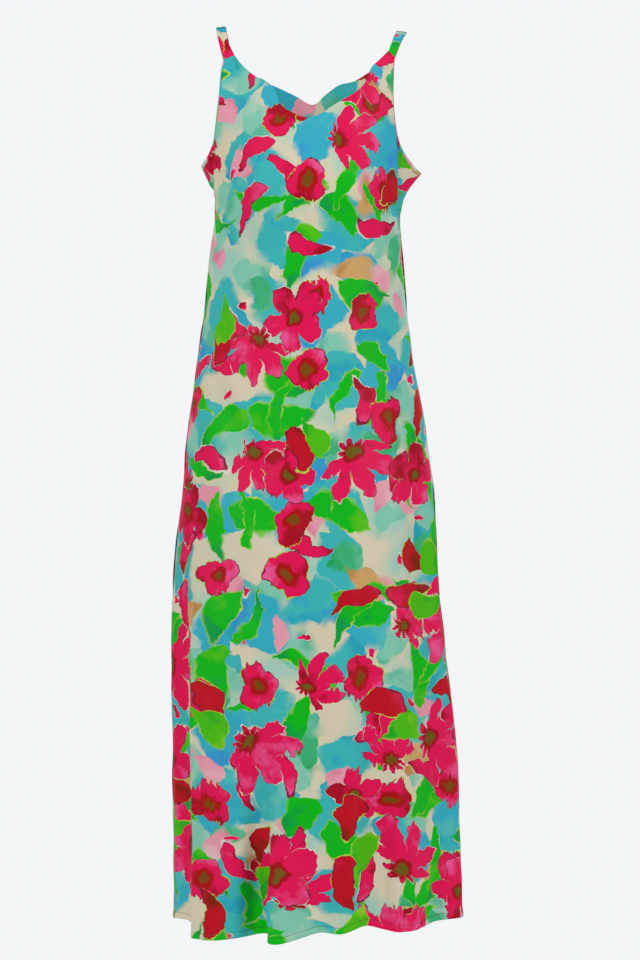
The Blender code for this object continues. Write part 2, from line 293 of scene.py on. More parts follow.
STRAP_LEFT = (
    StrapRung(depth=-53, inner_down=50.4, outer_down=56.0, inner=111.8, outer=127.9),
    StrapRung(depth=-45, inner_down=32.0, outer_down=34.0, inner=120.2, outer=134.4),
    StrapRung(depth=-25, inner_down=10.5, outer_down=12.0, inner=124.6, outer=138.6),
    StrapRung(depth=0, inner_down=0.2, outer_down=2.2, inner=125.8, outer=140.6),
    StrapRung(depth=25, inner_down=10.0, outer_down=12.0, inner=124.4, outer=139.2),
    StrapRung(depth=46, inner_down=31.0, outer_down=34.0, inner=119.6, outer=134.2),
    StrapRung(depth=56.5, inner_down=50.0, outer_down=53.0, inner=112.0, outer=127.9),
)

STRAP_RIGHT = (
    StrapRung(depth=-53, inner_down=43.7, outer_down=53.0, inner=114.0, outer=122.2),
    StrapRung(depth=-45, inner_down=30.0, outer_down=35.5, inner=118.6, outer=129.4),
    StrapRung(depth=-25, inner_down=14.5, outer_down=17.0, inner=123.8, outer=137.8),
    StrapRung(depth=0, inner_down=7.0, outer_down=9.0, inner=126.5, outer=142.1),
    StrapRung(depth=25, inner_down=15.0, outer_down=18.0, inner=122.0, outer=135.5),
    StrapRung(depth=46, inner_down=31.0, outer_down=36.5, inner=116.8, outer=127.4),
    StrapRung(depth=56.5, inner_down=46.0, outer_down=53.0, inner=113.0, outer=122.2),
)


class Crease(NamedTuple):
    """A soft trough pressed or dragged into the cloth, with a low ridge beside it.

    It runs from one place to another, each given across the body and down, in mm. bow is how far its
    middle swings sideways, and start is its strength at the first place, from 0 to 1.
    """

    from_across: float
    from_down: float
    to_across: float
    to_down: float
    width: float
    depth: float
    bow: float
    start: float


FRONT_CREASES = (
    Crease(112, 236, 118, 300, width=4.0, depth=2.4, bow=1.0, start=0.4),
    Crease(-130, 238, -131, 276, width=2.6, depth=3.0, bow=-1.0, start=0.9),
    Crease(-112, 58, -105, 84, width=2.2, depth=2.8, bow=1.5, start=1.0),
    Crease(-119, 60, -117, 92, width=2.0, depth=1.6, bow=-1.0, start=0.8),
    Crease(117, 52, 108, 86, width=2.4, depth=2.0, bow=2.0, start=1.0),
    Crease(99, 98, 106, 124, width=2.6, depth=1.2, bow=-1.0, start=0.3),
    Crease(-66, 120, -34, 176, width=6.5, depth=1.5, bow=3.0, start=0.2),
    Crease(-44, 128, -22, 166, width=4.5, depth=1.0, bow=-2.0, start=0.5),
    Crease(-20, 150, 4, 205, width=6.0, depth=1.2, bow=2.0, start=0.4),
    Crease(62, 114, 32, 168, width=6.5, depth=1.3, bow=-3.0, start=0.3),
    Crease(86, 96, 70, 150, width=5.0, depth=1.0, bow=2.0, start=0.4),
    Crease(-139, 262, -98, 300, width=8.0, depth=2.0, bow=4.0, start=0.7),
    Crease(-140, 284, -92, 352, width=10.0, depth=1.8, bow=-5.0, start=0.5),
    Crease(127, 268, 92, 318, width=8.0, depth=2.0, bow=-4.0, start=0.7),
    Crease(128, 300, 84, 372, width=10.0, depth=1.8, bow=5.0, start=0.4),
    Crease(-20, 286, -62, 372, width=11.0, depth=1.6, bow=4.0, start=0.0),
    Crease(28, 292, 62, 386, width=10.0, depth=1.4, bow=-4.0, start=0.0),
    Crease(-128, 392, -72, 452, width=11.0, depth=2.0, bow=-5.0, start=0.3),
    Crease(126, 414, 64, 470, width=12.0, depth=1.9, bow=5.0, start=0.3),
    Crease(-150, 500, -96, 640, width=13.0, depth=2.2, bow=8.0, start=0.2),
    Crease(-58, 520, -78, 760, width=16.0, depth=2.2, bow=6.0, start=0.0),
    Crease(-12, 560, -20, 860, width=15.0, depth=1.8, bow=-6.0, start=0.0),
    Crease(44, 600, 34, 900, width=14.0, depth=1.8, bow=5.0, start=0.0),
    Crease(96, 520, 118, 780, width=13.0, depth=2.3, bow=-6.0, start=0.1),
    Crease(-108, 760, -120, 1040, width=14.0, depth=2.0, bow=5.0, start=0.0),
    Crease(-66, 880, -72, 1180, width=13.0, depth=2.0, bow=-5.0, start=0.0),
    Crease(70, 860, 84, 1210, width=13.0, depth=2.1, bow=6.0, start=0.0),
    Crease(150, 760, 168, 1120, width=12.0, depth=2.0, bow=-5.0, start=0.0),
    Crease(-82, 1322, -85, 1090, width=11.0, depth=5.5, bow=0.0, start=1.0),
)

BACK_CREASES = (
    Crease(-112, 58, -104, 88, width=2.4, depth=1.5, bow=-1.5, start=1.0),
    Crease(114, 54, 107, 90, width=2.6, depth=1.5, bow=1.5, start=1.0),
    Crease(-92, 70, -78, 118, width=4.5, depth=1.0, bow=2.0, start=0.4),
    Crease(80, 66, 66, 116, width=4.5, depth=1.0, bow=-2.0, start=0.4),
    Crease(-20, 100, 6, 152, width=6.0, depth=1.1, bow=2.0, start=0.3),
    Crease(30, 92, 14, 160, width=6.5, depth=1.1, bow=-2.0, start=0.3),
    Crease(-138, 262, -86, 286, width=8.0, depth=1.9, bow=-4.0, start=0.7),
    Crease(-138, 290, -76, 340, width=10.0, depth=1.9, bow=5.0, start=0.4),
    Crease(126, 266, 76, 292, width=8.0, depth=2.0, bow=4.0, start=0.7),
    Crease(128, 296, 70, 356, width=10.0, depth=1.8, bow=-5.0, start=0.4),
    Crease(-110, 380, -20, 402, width=11.0, depth=2.1, bow=-7.0, start=0.2),
    Crease(112, 398, 26, 424, width=11.0, depth=2.2, bow=7.0, start=0.2),
    Crease(-126, 440, -44, 470, width=12.0, depth=1.9, bow=-8.0, start=0.2),
    Crease(120, 456, 52, 492, width=12.0, depth=1.8, bow=8.0, start=0.2),
    Crease(-104, 560, -92, 800, width=14.0, depth=2.1, bow=-5.0, start=0.0),
    Crease(-44, 600, -58, 880, width=15.0, depth=2.0, bow=6.0, start=0.0),
    Crease(36, 580, 44, 850, width=15.0, depth=2.0, bow=-6.0, start=0.0),
    Crease(100, 600, 92, 860, width=14.0, depth=2.1, bow=5.0, start=0.0),
    Crease(-120, 880, -134, 1180, width=13.0, depth=2.0, bow=-5.0, start=0.0),
    Crease(124, 900, 140, 1200, width=13.0, depth=2.0, bow=5.0, start=0.0),
)


class Ripple(NamedTuple):
    """A low wave over the whole cloth: its length, the way it runs in degrees, its height and phase."""

    length: float
    way: float
    height: float
    phase: float


RIPPLES = (
    Ripple(length=173, way=12, height=0.8, phase=0.3),
    Ripple(length=121, way=-31, height=0.6, phase=1.9),
    Ripple(length=88, way=48, height=0.45, phase=4.1),
    Ripple(length=71, way=-8, height=0.4, phase=2.6),
    Ripple(length=57, way=-62, height=0.3, phase=5.2),
)


class Trough(NamedTuple):
    """The thin trough that a row of sewing or a turned edge presses into the cloth, in mm."""

    depth: float
    half_width: float


HEM_TROUGH = Trough(depth=0.8, half_width=0.8)
SIDE_SEAM_TROUGH = Trough(depth=0.9, half_width=2.4)
TOP_EDGE_TROUGH = Trough(depth=0.5, half_width=1.4)
STRAP_JOIN_TROUGH = Trough(depth=0.7, half_width=1.3)


class Pucker(NamedTuple):
    """The small puckers that the stitches pull into the turned hem, in mm.

    pitch is the run of a pucker for each radian, which drifts and swings along the hem. middle is how far
    above the hem's edge they are highest.
    """

    height: float
    pitch: float
    drift: float
    swing: float
    middle: float
    half_height: float


HEM_PUCKER = Pucker(height=0.3, pitch=1.9, drift=23.0, swing=3.0, middle=6.0, half_height=5.0)

# How far across the printed cloth each panel's middle line is cut, in mm from the cloth's edge.
FRONT_CUT_FROM = 950.0
BACK_CUT_FROM = 1720.0

# The underarm corners, across the body and down, and how far down the armholes end under the straps.
CORNER_LEFT = (-162.8, 207.3)
CORNER_RIGHT = (164.3, 219.1)
ARMHOLE_TOP_LEFT_DOWN = 56.0
ARMHOLE_TOP_RIGHT_DOWN = 53.0

# The level under the bust, from which the cloth hangs, and how the yoke curves down to it.
BUST_LINE_DOWN = 300.0
TOP_EDGE_SLANT = 2.0
BUST_LINE_PULL = 1.5

# The mean length from the bust line to the hem, and how far above the hem's edge its mesh rows lie.
SKIRT_LENGTH = 1022.0
HEM_ROWS = (12.0, 10.6, 9.9, 9.3, 8.8, 8.3, 7.7, 6.0, 4.0, 2.0, 1.0)
STITCH_LINE = 8.8

# The least step in level between the skirt's even rows and the hem's own.
HEM_ROW_GAP = 0.002


class Side(Enum):
    """Which side of the dress a piece is on, as the front is seen."""

    LEFT = "left"
    RIGHT = "right"


def hex_to_linear(colour: str) -> tuple[float, float, float, float]:
    """Turns an sRGB colour to linear light.

    Args:
        colour: Six hex digits after a #.

    Returns:
        Red, green, blue and an alpha of 1.
    """
    parts = [int(colour[start : start + 2], 16) / 255 for start in (1, 3, 5)]
    linear = [part / 12.92 if part <= 0.04045 else ((part + 0.055) / 1.055) ** 2.4 for part in parts]
    return (linear[0], linear[1], linear[2], 1.0)


def hermite(first: Places, leaving: Places, last: Places, arriving: Places, share: Places) -> Places:
    """Runs a cubic from one value to another.

    Args:
        first: The value at share 0.
        leaving: Its slope there.
        last: The value at share 1.
        arriving: Its slope there.
        share: How far along to read it.

    Returns:
        The values at share.
    """
    squared, cubed = share**2, share**3
    return (
        first * (2 * cubed - 3 * squared + 1)
        + leaving * (cubed - 2 * squared + share)
        + last * (3 * squared - 2 * cubed)
        + arriving * (cubed - squared)
    )


def read_table(rows: Sequence[Sequence[float]], at: Places) -> Places:
    """Reads a table's columns on a smooth curve through its rows.

    Args:
        rows: The rows, in rising order of their first column.
        at: Values of the first column.

    Returns:
        The other columns at those values, along a last axis.
    """
    table = np.array(rows, dtype=float)
    first = table[:, 0]
    before, after = np.r_[0, np.arange(len(first) - 1)], np.r_[np.arange(1, len(first)), len(first) - 1]
    slopes = (table[after] - table[before]) / (first[after] - first[before])[:, None]
    low = np.clip(np.searchsorted(first, at, side="left") - 1, 0, len(first) - 2)
    span = (first[low + 1] - first[low])[..., None]
    share = (at - first[low])[..., None] / span
    values = hermite(table[low], slopes[low] * span, table[low + 1], slopes[low + 1] * span, share)
    return values[..., 1:]


def distances(line: Places) -> Places:
    """How far along a line each of its places lies."""
    return np.r_[0, np.cumsum(np.linalg.norm(np.diff(line, axis=0), axis=1))]


def along(points: Places, share: Places) -> Places:
    """Reads places at shares of the way along a smooth curve.

    Args:
        points: The points that the curve goes through, one a row.
        share: From 0 at its start to 1 at its end.

    Returns:
        The places, along a last axis.
    """
    reached = distances(points)
    return read_table(np.column_stack((reached, points)), share * reached[-1])


def smooth(value: Places | float, start: float, full: float) -> Places:
    """Rises smoothly from 0 to 1.

    Args:
        value: Where to read it.
        start: The value up to which it is 0.
        full: The value from which it is 1.

    Returns:
        The height at each value.
    """
    share = np.clip((value - start) / (full - start), 0, 1)
    return share * share * (3 - 2 * share)


def bell(away: Places) -> Places:
    """A soft bump that is 1 at 0 and fades within about 2 each way."""
    return np.exp(-(away**2))


def to_and_fro(away: Places) -> Places:
    """The push across a lap, from -1 to 1: back on one side of its edge and forth on the other."""
    return np.sin(np.pi * away) * (1 - away**2)


def pressed(away: Places, trough: Trough) -> Places:
    """How deep a trough is at distances from its middle."""
    return trough.depth * bell(away / trough.half_width)


def unit(vectors: Places) -> Places:
    """The vectors, each brought to length 1."""
    return vectors / np.linalg.norm(vectors, axis=-1, keepdims=True)


def skirt_place(turn: Places, down: Places) -> Places:
    """Places the cloth at and below the bust line.

    Args:
        turn: Degrees round the body from the front.
        down: mm below the shoulders.

    Returns:
        x, y and z in mm, along a last axis.
    """
    section = read_table(SECTIONS, down)
    angle = np.radians(turn)
    across, forward = np.sin(angle), np.cos(angle)
    side = np.where(across > 0, section[..., 1], section[..., 0])
    depth = np.where(forward > 0, section[..., 2], section[..., 3])
    flat = np.zeros_like(side)
    out = unit(np.stack((across / side, -forward / depth, flat), axis=-1))
    round_body = unit(np.stack((forward * side, across * depth, flat), axis=-1))
    place = np.stack((side * across, -depth * forward, -down + flat), axis=-1)
    for fold in FOLDS:
        away = np.clip((turn - fold.turn) / fold.half_width, -1, 1)
        strength = (1 + np.cos(np.pi * away)) / 2 * smooth(down, fold.starts, fold.full)
        place += strength[..., None] * (fold.rise * out + fold.lean * round_body)
    for lap in LAPS:
        away = np.clip((turn - lap.turn) / lap.half_width, -1, 1)
        strength = smooth(down, lap.starts, lap.full) * to_and_fro(away)
        place += strength[..., None] * (lap.step * out - lap.over * round_body)
    return place


def sheet_mesh(name: str, places: Places, flat: Places) -> bpy.types.Object:
    """Makes a smooth sheet through a grid of places, facing out of the cloth.

    Args:
        name: The piece's name.
        places: x, y and z in mm, by row down and column across.
        flat: Across the flat cloth and up it in mm, down being negative, for the same grid.

    Returns:
        The new object, linked to the scene.
    """
    high, wide = places.shape[:2]
    index = np.arange(high * wide).reshape(high, wide)
    faces = np.stack((index[:-1, :-1], index[1:, :-1], index[1:, 1:], index[:-1, 1:]), axis=-1)
    faces = faces.reshape(-1, 4)
    mesh = bpy.data.meshes.new(name)
    mesh.from_pydata((places.reshape(-1, 3) * MM).tolist(), [], faces.tolist())
    mesh.shade_smooth()
    layer = mesh.uv_layers.new(name="flat_cloth")
    layer.data.foreach_set("uv", (flat.reshape(-1, 2)[faces.ravel()] * MM).ravel())
    piece = bpy.data.objects.new(name, mesh)
    bpy.context.scene.collection.objects.link(piece)
    return piece


def give_wall(piece: bpy.types.Object, wall: float) -> None:
    """Gives a sheet its wall, on its inner side.

    Args:
        piece: The sheet.
        wall: Its wall in mm.
    """
    solidify = piece.modifiers.new("Wall", "SOLIDIFY")
    solidify.thickness = wall * MM
    solidify.offset = -1


class NodeSketch:
    """A material and its node tree, while nodes are added to it."""

    def __init__(self, name: str) -> None:
        """Starts an empty material of this name."""
        self.material = bpy.data.materials.new(name)
        self.material.use_nodes = True
        self.tree = self.material.node_tree
        self.shader = self.tree.nodes["Principled BSDF"]

    def add(
        self, kind: str, inputs: Mapping[int | str, Value], output: int | str = 0, **settings: object
    ) -> Socket:
        """Adds a node with its settings and links.

        Args:
            kind: The node's type, without the ShaderNode in front.
            inputs: What goes into its inputs, by place or name: another node's output, or a value.
            output: Which of its outputs is wanted.
            settings: The node's own settings.

        Returns:
            The output.
        """
        node = self.tree.nodes.new("ShaderNode" + kind)
        for name, setting in settings.items():
            setattr(node, name, setting)
        for place, value in inputs.items():
            self.give(node.inputs[place], value)
        return node.outputs[output]

    def give(self, socket: Socket, value: Value) -> None:
        """Links a node's output to an input, or sets the input to a value."""
        if isinstance(value, bpy.types.NodeSocket):
            self.tree.links.new(value, socket)
        else:
            socket.default_value = value


class MotifShape(Enum):
    """The forms that the print is painted from."""

    BLOSSOM = "blossom"
    FAN = "fan"
    LEAF = "leaf"
    PETAL = "petal"
    WASH = "wash"


@dataclass(frozen=True)
class Motif:
    """One kind of motif, scattered over the cloth. Lengths are in mm on the flat cloth.

    Attributes:
        shape: The form it is painted in.
        spacing: How far apart it comes, from one to the next.
        scatter: How uneven that spacing is, from 0 to 1.
        reach: Half its length, or its radius.
        slim: Half its width as a share of reach, or the share of reach at which a blossom is cut
            between its petals.
        shades: Its pigment where it pooled, where it is even, and where it ran thin.
        share: How many of the places carry it, from 0 to 1.
        shift: Where its pattern starts, so that kinds don't fall on each other.
        petals: How many petals a blossom has.
        soft: How far its edge fades, each way.
        bleed: How much further it fades where the cloth was wet.
        outline: The pale line of bare cloth round it, or none.
        rim: The dark line where its pigment dried, or none.
        heart: A blossom's middle, from its centre outwards, or none.
    """

    shape: MotifShape
    spacing: float
    scatter: float
    reach: float
    slim: float
    shades: tuple[str, str, str]
    share: float
    shift: tuple[float, float]
    petals: int = 0
    soft: float = 0.5
    bleed: float = 0.0
    outline: str | None = None
    rim: str | None = None
    heart: tuple[str, str] | None = None


# The colours of the print: its ground, its lines and its pigments, each pooled, even and thin.
CREAM = "#DDD2B4"
PALE_AQUA = "#9FD0BE"
BARE_LINE = "#E6E0D2"
LIME_LINE = "#B4DB4A"
PINK_RIM = "#8C0836"
PINKS = ("#AC0420", "#E80E54", "#F05896")
CRIMSONS = ("#8A1C04", "#C40A20", "#E6185A")
GREENS = ("#029E44", "#04BC14", "#58C80E")
LIMES = ("#18AC1C", "#4CC00A", "#8CD01C")
OLIVE_HEART = ("#6E5A12", "#A40A14")
RUST_HEART = ("#7E4A08", "#B00A0C")

MOTIFS = (
    Motif(
        shape=MotifShape.WASH,
        spacing=104,
        scatter=0.8,
        reach=57,
        slim=0.6,
        shades=("#27A7BE", "#3CB8B8", "#70C8AC"),
        share=0.9,
        shift=(31, 17),
        bleed=7.0,
    ),
    Motif(
        shape=MotifShape.WASH,
        spacing=92,
        scatter=0.8,
        reach=34,
        slim=0.6,
        shades=("#5CBC9A", "#84CBB0", "#BCD4BC"),
        share=0.6,
        shift=(5, 61),
        bleed=12.0,
    ),
    Motif(
        shape=MotifShape.WASH,
        spacing=140,
        scatter=0.7,
        reach=46,
        slim=0.7,
        shades=("#3498D0", "#34B0C4", "#50BEBC"),
        share=0.62,
        shift=(88, 40),
        bleed=8.0,
    ),
    Motif(
        shape=MotifShape.WASH,
        spacing=140,
        scatter=0.8,
        reach=28,
        slim=0.6,
        shades=("#22A858", "#3DB478", "#6CC49A"),
        share=0.6,
        shift=(43, 11),
        bleed=8.0,
    ),
    Motif(
        shape=MotifShape.WASH,
        spacing=100,
        scatter=0.8,
        reach=22,
        slim=0.7,
        shades=("#E6829E", "#EB9CAC", "#E8BCBC"),
        share=0.55,
        shift=(56, 84),
        bleed=4.0,
    ),
    Motif(
        shape=MotifShape.WASH,
        spacing=150,
        scatter=0.7,
        reach=34,
        slim=0.6,
        shades=("#C08A48", "#D2A668", "#DCC6A2"),
        share=0.55,
        shift=(12, 140),
        bleed=6.0,
    ),
    Motif(
        shape=MotifShape.PETAL,
        spacing=74,
        scatter=0.8,
        reach=9,
        slim=0.5,
        shades=PINKS,
        share=0.42,
        shift=(29, 41),
        outline=BARE_LINE,
    ),
    Motif(
        shape=MotifShape.LEAF,
        spacing=122,
        scatter=0.7,
        reach=52,
        slim=0.38,
        shades=GREENS,
        share=0.8,
        shift=(47, 23),
        bleed=4.0,
        outline=LIME_LINE,
    ),
    Motif(
        shape=MotifShape.LEAF,
        spacing=98,
        scatter=0.75,
        reach=50,
        slim=0.2,
        shades=GREENS,
        share=0.56,
        shift=(71, 9),
        bleed=2.0,
        outline=LIME_LINE,
    ),
    Motif(
        shape=MotifShape.PETAL,
        spacing=116,
        scatter=0.75,
        reach=40,
        slim=0.32,
        shades=PINKS,
        share=0.5,
        shift=(63, 3),
        outline=BARE_LINE,
        rim=PINK_RIM,
    ),
    Motif(
        shape=MotifShape.BLOSSOM,
        spacing=146,
        scatter=0.6,
        reach=30,
        slim=0.72,
        shades=PINKS,
        share=0.75,
        shift=(101, 55),
        petals=3,
        outline=LIME_LINE,
        rim=PINK_RIM,
        heart=RUST_HEART,
    ),
    Motif(
        shape=MotifShape.FAN,
        spacing=150,
        scatter=0.7,
        reach=72,
        slim=0.36,
        shades=PINKS,
        share=0.7,
        shift=(19, 77),
        petals=9,
        outline=BARE_LINE,
        rim=PINK_RIM,
        heart=OLIVE_HEART,
    ),
    Motif(
        shape=MotifShape.BLOSSOM,
        spacing=205,
        scatter=0.65,
        reach=50,
        slim=0.45,
        shades=PINKS,
        share=0.7,
        shift=(83, 27),
        petals=5,
        outline=BARE_LINE,
        rim=PINK_RIM,
        heart=OLIVE_HEART,
    ),
    Motif(
        shape=MotifShape.PETAL,
        spacing=134,
        scatter=0.75,
        reach=36,
        slim=0.44,
        shades=CRIMSONS,
        share=0.5,
        shift=(7, 99),
        outline=LIME_LINE,
        rim=PINK_RIM,
    ),
    Motif(
        shape=MotifShape.LEAF,
        spacing=150,
        scatter=0.7,
        reach=34,
        slim=0.5,
        shades=LIMES,
        share=0.42,
        shift=(37, 69),
        bleed=1.5,
        outline=LIME_LINE,
    ),
)


@dataclass(frozen=True)
class PrintedSatin:
    """Polyester satin, woven, then printed with a painted flower design and left soft.

    Its long floats give the eye a low, even lustre without a hard highlight, and the ink lies in the
    threads, so the colours stay matt and bright. Lengths are in mm on the flat cloth.

    Attributes:
        name: The material's name.
        roughness: How matt the cloth is.
        specular: How much of the light its surface throws back.
        sheen: The strength of the soft light along its edges.
        sheen_roughness: How wide that light spreads.
        wander: How far the brush wanders.
        wander_scale: The length of that wandering.
        bristle: How far single bristles stray.
        bristle_scale: The length of that straying.
        bristle_pitch: Bristle marks for each mm, across and along a dry stroke.
        dry_patch: The size of the patches in which the brush ran dry.
        dry_band: The noise from which a patch starts to be dry, and is dry.
        drag: How far a dry brush frays an edge, from its shortest mark to its longest.
        pooling_scale: The size of the patches in which pigment pooled.
        run_of_pigment: How much thinner the pigment gets along half a motif.
        run_by_size: How much thinner it is in the longest motif than in the shortest.
        even_band: Between which shades the pigment is even.
        pooled_below: Up to which shade it is pooled.
        bend: How far leaves and petals bend, as a share of their length.
        lopsided: How much wider one end of them is.
        length_range: What the shortest and the longest motif's length is divided by.
        width_range: What the widest and the narrowest motif's width is divided by.
        petal_roundness: The power that rounds a blossom's petals.
        fan_band: The cosine round a fan up to which its petals are short, and from which they are long.
        fan_shortest: The short petals' length as a share of the long ones'.
        heart_reaches: How far a blossom's outer and inner heart reach.
        heart_soft: How far their edges fade.
        streak_pitch: Streaks for each radian round a blossom.
        streak_length: A streak's length.
        streak: How strong streaks are.
        wet_scale: The size of the patches in which the cloth was wet.
        wet_band: The noise from which a patch starts to be wet, and is wet.
        ground_scale: The size of the pale aqua clouds on the ground.
        ground_band: The noise from which they start, and are full.
        line_width: How wide the bare line round a motif is at most.
        line_thin: The same where it is lost under the pigment.
        line_band: The pooling at which the line is lost, and is full.
        rim_width: How wide the rim of dried pigment is at most.
        rim_band: The pooling at which there is no rim, and a full one.
        shift_unit: How many steps of a motif's shift make one spacing.
        far_off: The distance given where a place carries no motif.
        twill_scale: The length in which the wave of the slanting threads runs 20 radians.
        twill_height: How high they stand.
        twill_slant: Their slant in degrees.
        twill_waver: How much they waver.
        twill_strength: How strongly they show.
    """

    name: str = "printed_polyester_satin"
    roughness: float = 0.5
    specular: float = 0.12
    sheen: float = 0.02
    sheen_roughness: float = 0.4
    wander: float = 13.0
    wander_scale: float = 34.0
    bristle: float = 3.4
    bristle_scale: float = 7.5
    bristle_pitch: tuple[float, float, float] = (1 / 4.5, 1 / 60, 0.0)
    dry_patch: float = 55.0
    dry_band: tuple[float, float] = (0.45, 0.6)
    drag: float = 22.0
    pooling_scale: float = 36.0
    run_of_pigment: float = 0.24
    run_by_size: float = 0.2
    even_band: tuple[float, float] = (0.54, 0.78)
    pooled_below: float = 0.4
    bend: float = 0.3
    lopsided: float = 0.38
    length_range: tuple[float, float] = (1.25, 0.85)
    width_range: tuple[float, float] = (0.8, 1.3)
    petal_roundness: float = 0.6
    fan_band: tuple[float, float] = (-0.3, 0.6)
    fan_shortest: float = 0.3
    heart_reaches: tuple[float, float] = (14.5, 7.5)
    heart_soft: float = 2.0
    streak_pitch: float = 5.0
    streak_length: float = 70.0
    streak: float = 0.34
    wet_scale: float = 30.0
    wet_band: tuple[float, float] = (0.44, 0.62)
    ground_scale: float = 95.0
    ground_band: tuple[float, float] = (0.45, 0.7)
    line_width: float = 1.3
    line_thin: float = -0.4
    line_band: tuple[float, float] = (0.56, 0.42)
    rim_width: float = 1.7
    rim_band: tuple[float, float] = (0.36, 0.58)
    shift_unit: float = 50.0
    far_off: float = 1000.0
    twill_scale: float = 22.0
    twill_height: float = 0.02
    twill_slant: float = 62.0
    twill_waver: float = 2.0
    twill_strength: float = 0.4

    def make(self) -> bpy.types.Material:
        """Builds the material.

        Returns:
            The material, which reads the flat cloth's own coordinates.
        """
        sketch = NodeSketch(self.name)
        flat = sketch.add("UVMap", {}, uv_map="flat_cloth")
        cloth = sketch.add("VectorMath", {0: flat, "Scale": 1 / MM}, operation="SCALE")
        painted = self.brushed(sketch, cloth)
        dragged = self.dragged(sketch, painted)
        pooling = sketch.add("TexNoise", {"Vector": cloth, "Scale": 1 / self.pooling_scale, "Detail": 3.0})
        wetness = sketch.add("TexNoise", {"Vector": painted, "Scale": 1 / self.wet_scale, "Detail": 1.0})
        wet_from, wet_full = self.wet_band
        wet = sketch.add(
            "MapRange", {0: wetness, 1: wet_from, 2: wet_full}, interpolation_type="SMOOTHSTEP"
        )
        colour = self.ground(sketch, cloth)
        for motif in MOTIFS:
            places = dragged if motif.shape in (MotifShape.BLOSSOM, MotifShape.FAN) else painted
            colour = self.paint(sketch, motif, places, pooling, wet, colour)
        sketch.give(sketch.shader.inputs["Base Color"], colour)
        sketch.give(sketch.shader.inputs["Normal"], self.weave(sketch, cloth))
        sketch.shader.inputs["Roughness"].default_value = self.roughness
        sketch.shader.inputs["Specular IOR Level"].default_value = self.specular
        sketch.shader.inputs["Sheen Weight"].default_value = self.sheen
        sketch.shader.inputs["Sheen Roughness"].default_value = self.sheen_roughness
        return sketch.material

    def brushed(self, sketch: NodeSketch, cloth: Socket) -> Socket:
        """Lets the places wander, as a brush does, so that motifs come out hand painted.

        Args:
            sketch: The material's nodes.
            cloth: Places on the flat cloth in mm.

        Returns:
            The wandering places in mm.
        """
        for scale, swing in ((self.wander_scale, self.wander), (self.bristle_scale, self.bristle)):
            noise = sketch.add(
                "TexNoise", {"Vector": cloth, "Scale": 1 / scale, "Detail": 1.0}, output="Color"
            )
            centred = sketch.add("VectorMath", {0: noise, 1: (0.5, 0.5, 0.5)}, operation="SUBTRACT")
            moved = sketch.add("VectorMath", {0: centred, "Scale": swing * 2}, operation="SCALE")
            cloth = sketch.add("VectorMath", {0: cloth, 1: moved}, operation="ADD")
        return cloth

    def dragged(self, sketch: NodeSketch, cloth: Socket) -> Socket:
        """Frays edges up and down in patches, where a brush ran dry.

        Args:
            sketch: The material's nodes.
            cloth: The wandering places in mm.

        Returns:
            The places with the drag of the bristles, in mm.
        """
        bristles = sketch.add("VectorMath", {0: cloth, 1: self.bristle_pitch}, operation="MULTIPLY")
        dragged = sketch.add("TexNoise", {"Vector": bristles, "Scale": 1.0, "Detail": 1.0})
        patches = sketch.add("TexNoise", {"Vector": cloth, "Scale": 1 / self.dry_patch, "Detail": 0.0})
        dry_from, dry_full = self.dry_band
        dry = sketch.add("MapRange", {0: patches, 1: dry_from, 2: dry_full, 4: self.drag})
        centred = sketch.add("Math", {0: dragged, 1: 0.5}, operation="SUBTRACT")
        pulled = sketch.add("Math", {0: centred, 1: dry}, operation="MULTIPLY")
        pull = sketch.add("CombineXYZ", {0: 0.0, 1: pulled})
        return sketch.add("VectorMath", {0: cloth, 1: pull}, operation="ADD")

    def ground(self, sketch: NodeSketch, cloth: Socket) -> Socket:
        """Gives the cream ground and the pale aqua that ran into it.

        Args:
            sketch: The material's nodes.
            cloth: Places on the flat cloth in mm.

        Returns:
            The ground's colour.
        """
        run = sketch.add("TexNoise", {"Vector": cloth, "Scale": 1 / self.ground_scale, "Detail": 3.0})
        start, full = self.ground_band
        share = sketch.add("MapRange", {0: run, 1: start, 2: full}, interpolation_type="SMOOTHSTEP")
        tints = {0: share, 6: hex_to_linear(CREAM), 7: hex_to_linear(PALE_AQUA)}
        return sketch.add("Mix", tints, output=2, data_type="RGBA")

    def paint(
        self,
        sketch: NodeSketch,
        motif: Motif,
        painted: Socket,
        pooling: Socket,
        wet: Socket,
        below: Socket,
    ) -> Socket:
        """Paints one kind of motif over what is there.

        Args:
            sketch: The material's nodes.
            motif: The kind of motif.
            painted: Wandering places on the flat cloth in mm.
            pooling: Where the pigment pooled, from 0 to 1.
            wet: Where the cloth was wet, from 0 to 1.
            below: The colour so far.

        Returns:
            The colour with the motif on it.
        """
        start = (*(shift * motif.spacing / self.shift_unit for shift in motif.shift), 0.0)
        shifted = sketch.add("VectorMath", {0: painted, 1: start}, operation="ADD")
        scatter = {"Vector": shifted, "Scale": 1 / motif.spacing, "Randomness": motif.scatter}
        middle = sketch.add("TexVoronoi", scatter, output="Position", voronoi_dimensions="2D")
        chance = middle.node.outputs["Color"]
        spin = sketch.add("SeparateColor", {0: chance})
        size, pick = spin.node.outputs[1], spin.node.outputs[2]
        angle = sketch.add("Math", {0: spin, 1: 2 * math.pi}, operation="MULTIPLY")
        local = sketch.add("VectorMath", {0: shifted, 1: middle}, operation="SUBTRACT")
        local = sketch.add("VectorRotate", {0: local, 3: angle}, rotation_type="Z_AXIS")
        shortest, longest = self.length_range
        longer = sketch.add("MapRange", {0: size, 3: shortest, 4: longest})
        widest, narrowest = self.width_range
        wider = sketch.add("MapRange", {0: pick, 2: motif.share, 3: widest, 4: narrowest})
        stretch = sketch.add("CombineXYZ", {0: longer, 1: wider})
        local = sketch.add("VectorMath", {0: local, 1: stretch}, operation="MULTIPLY")
        edge = self.outline_of(sketch, motif, local)
        gone = sketch.add("Math", {0: pick, 1: motif.share}, operation="GREATER_THAN")
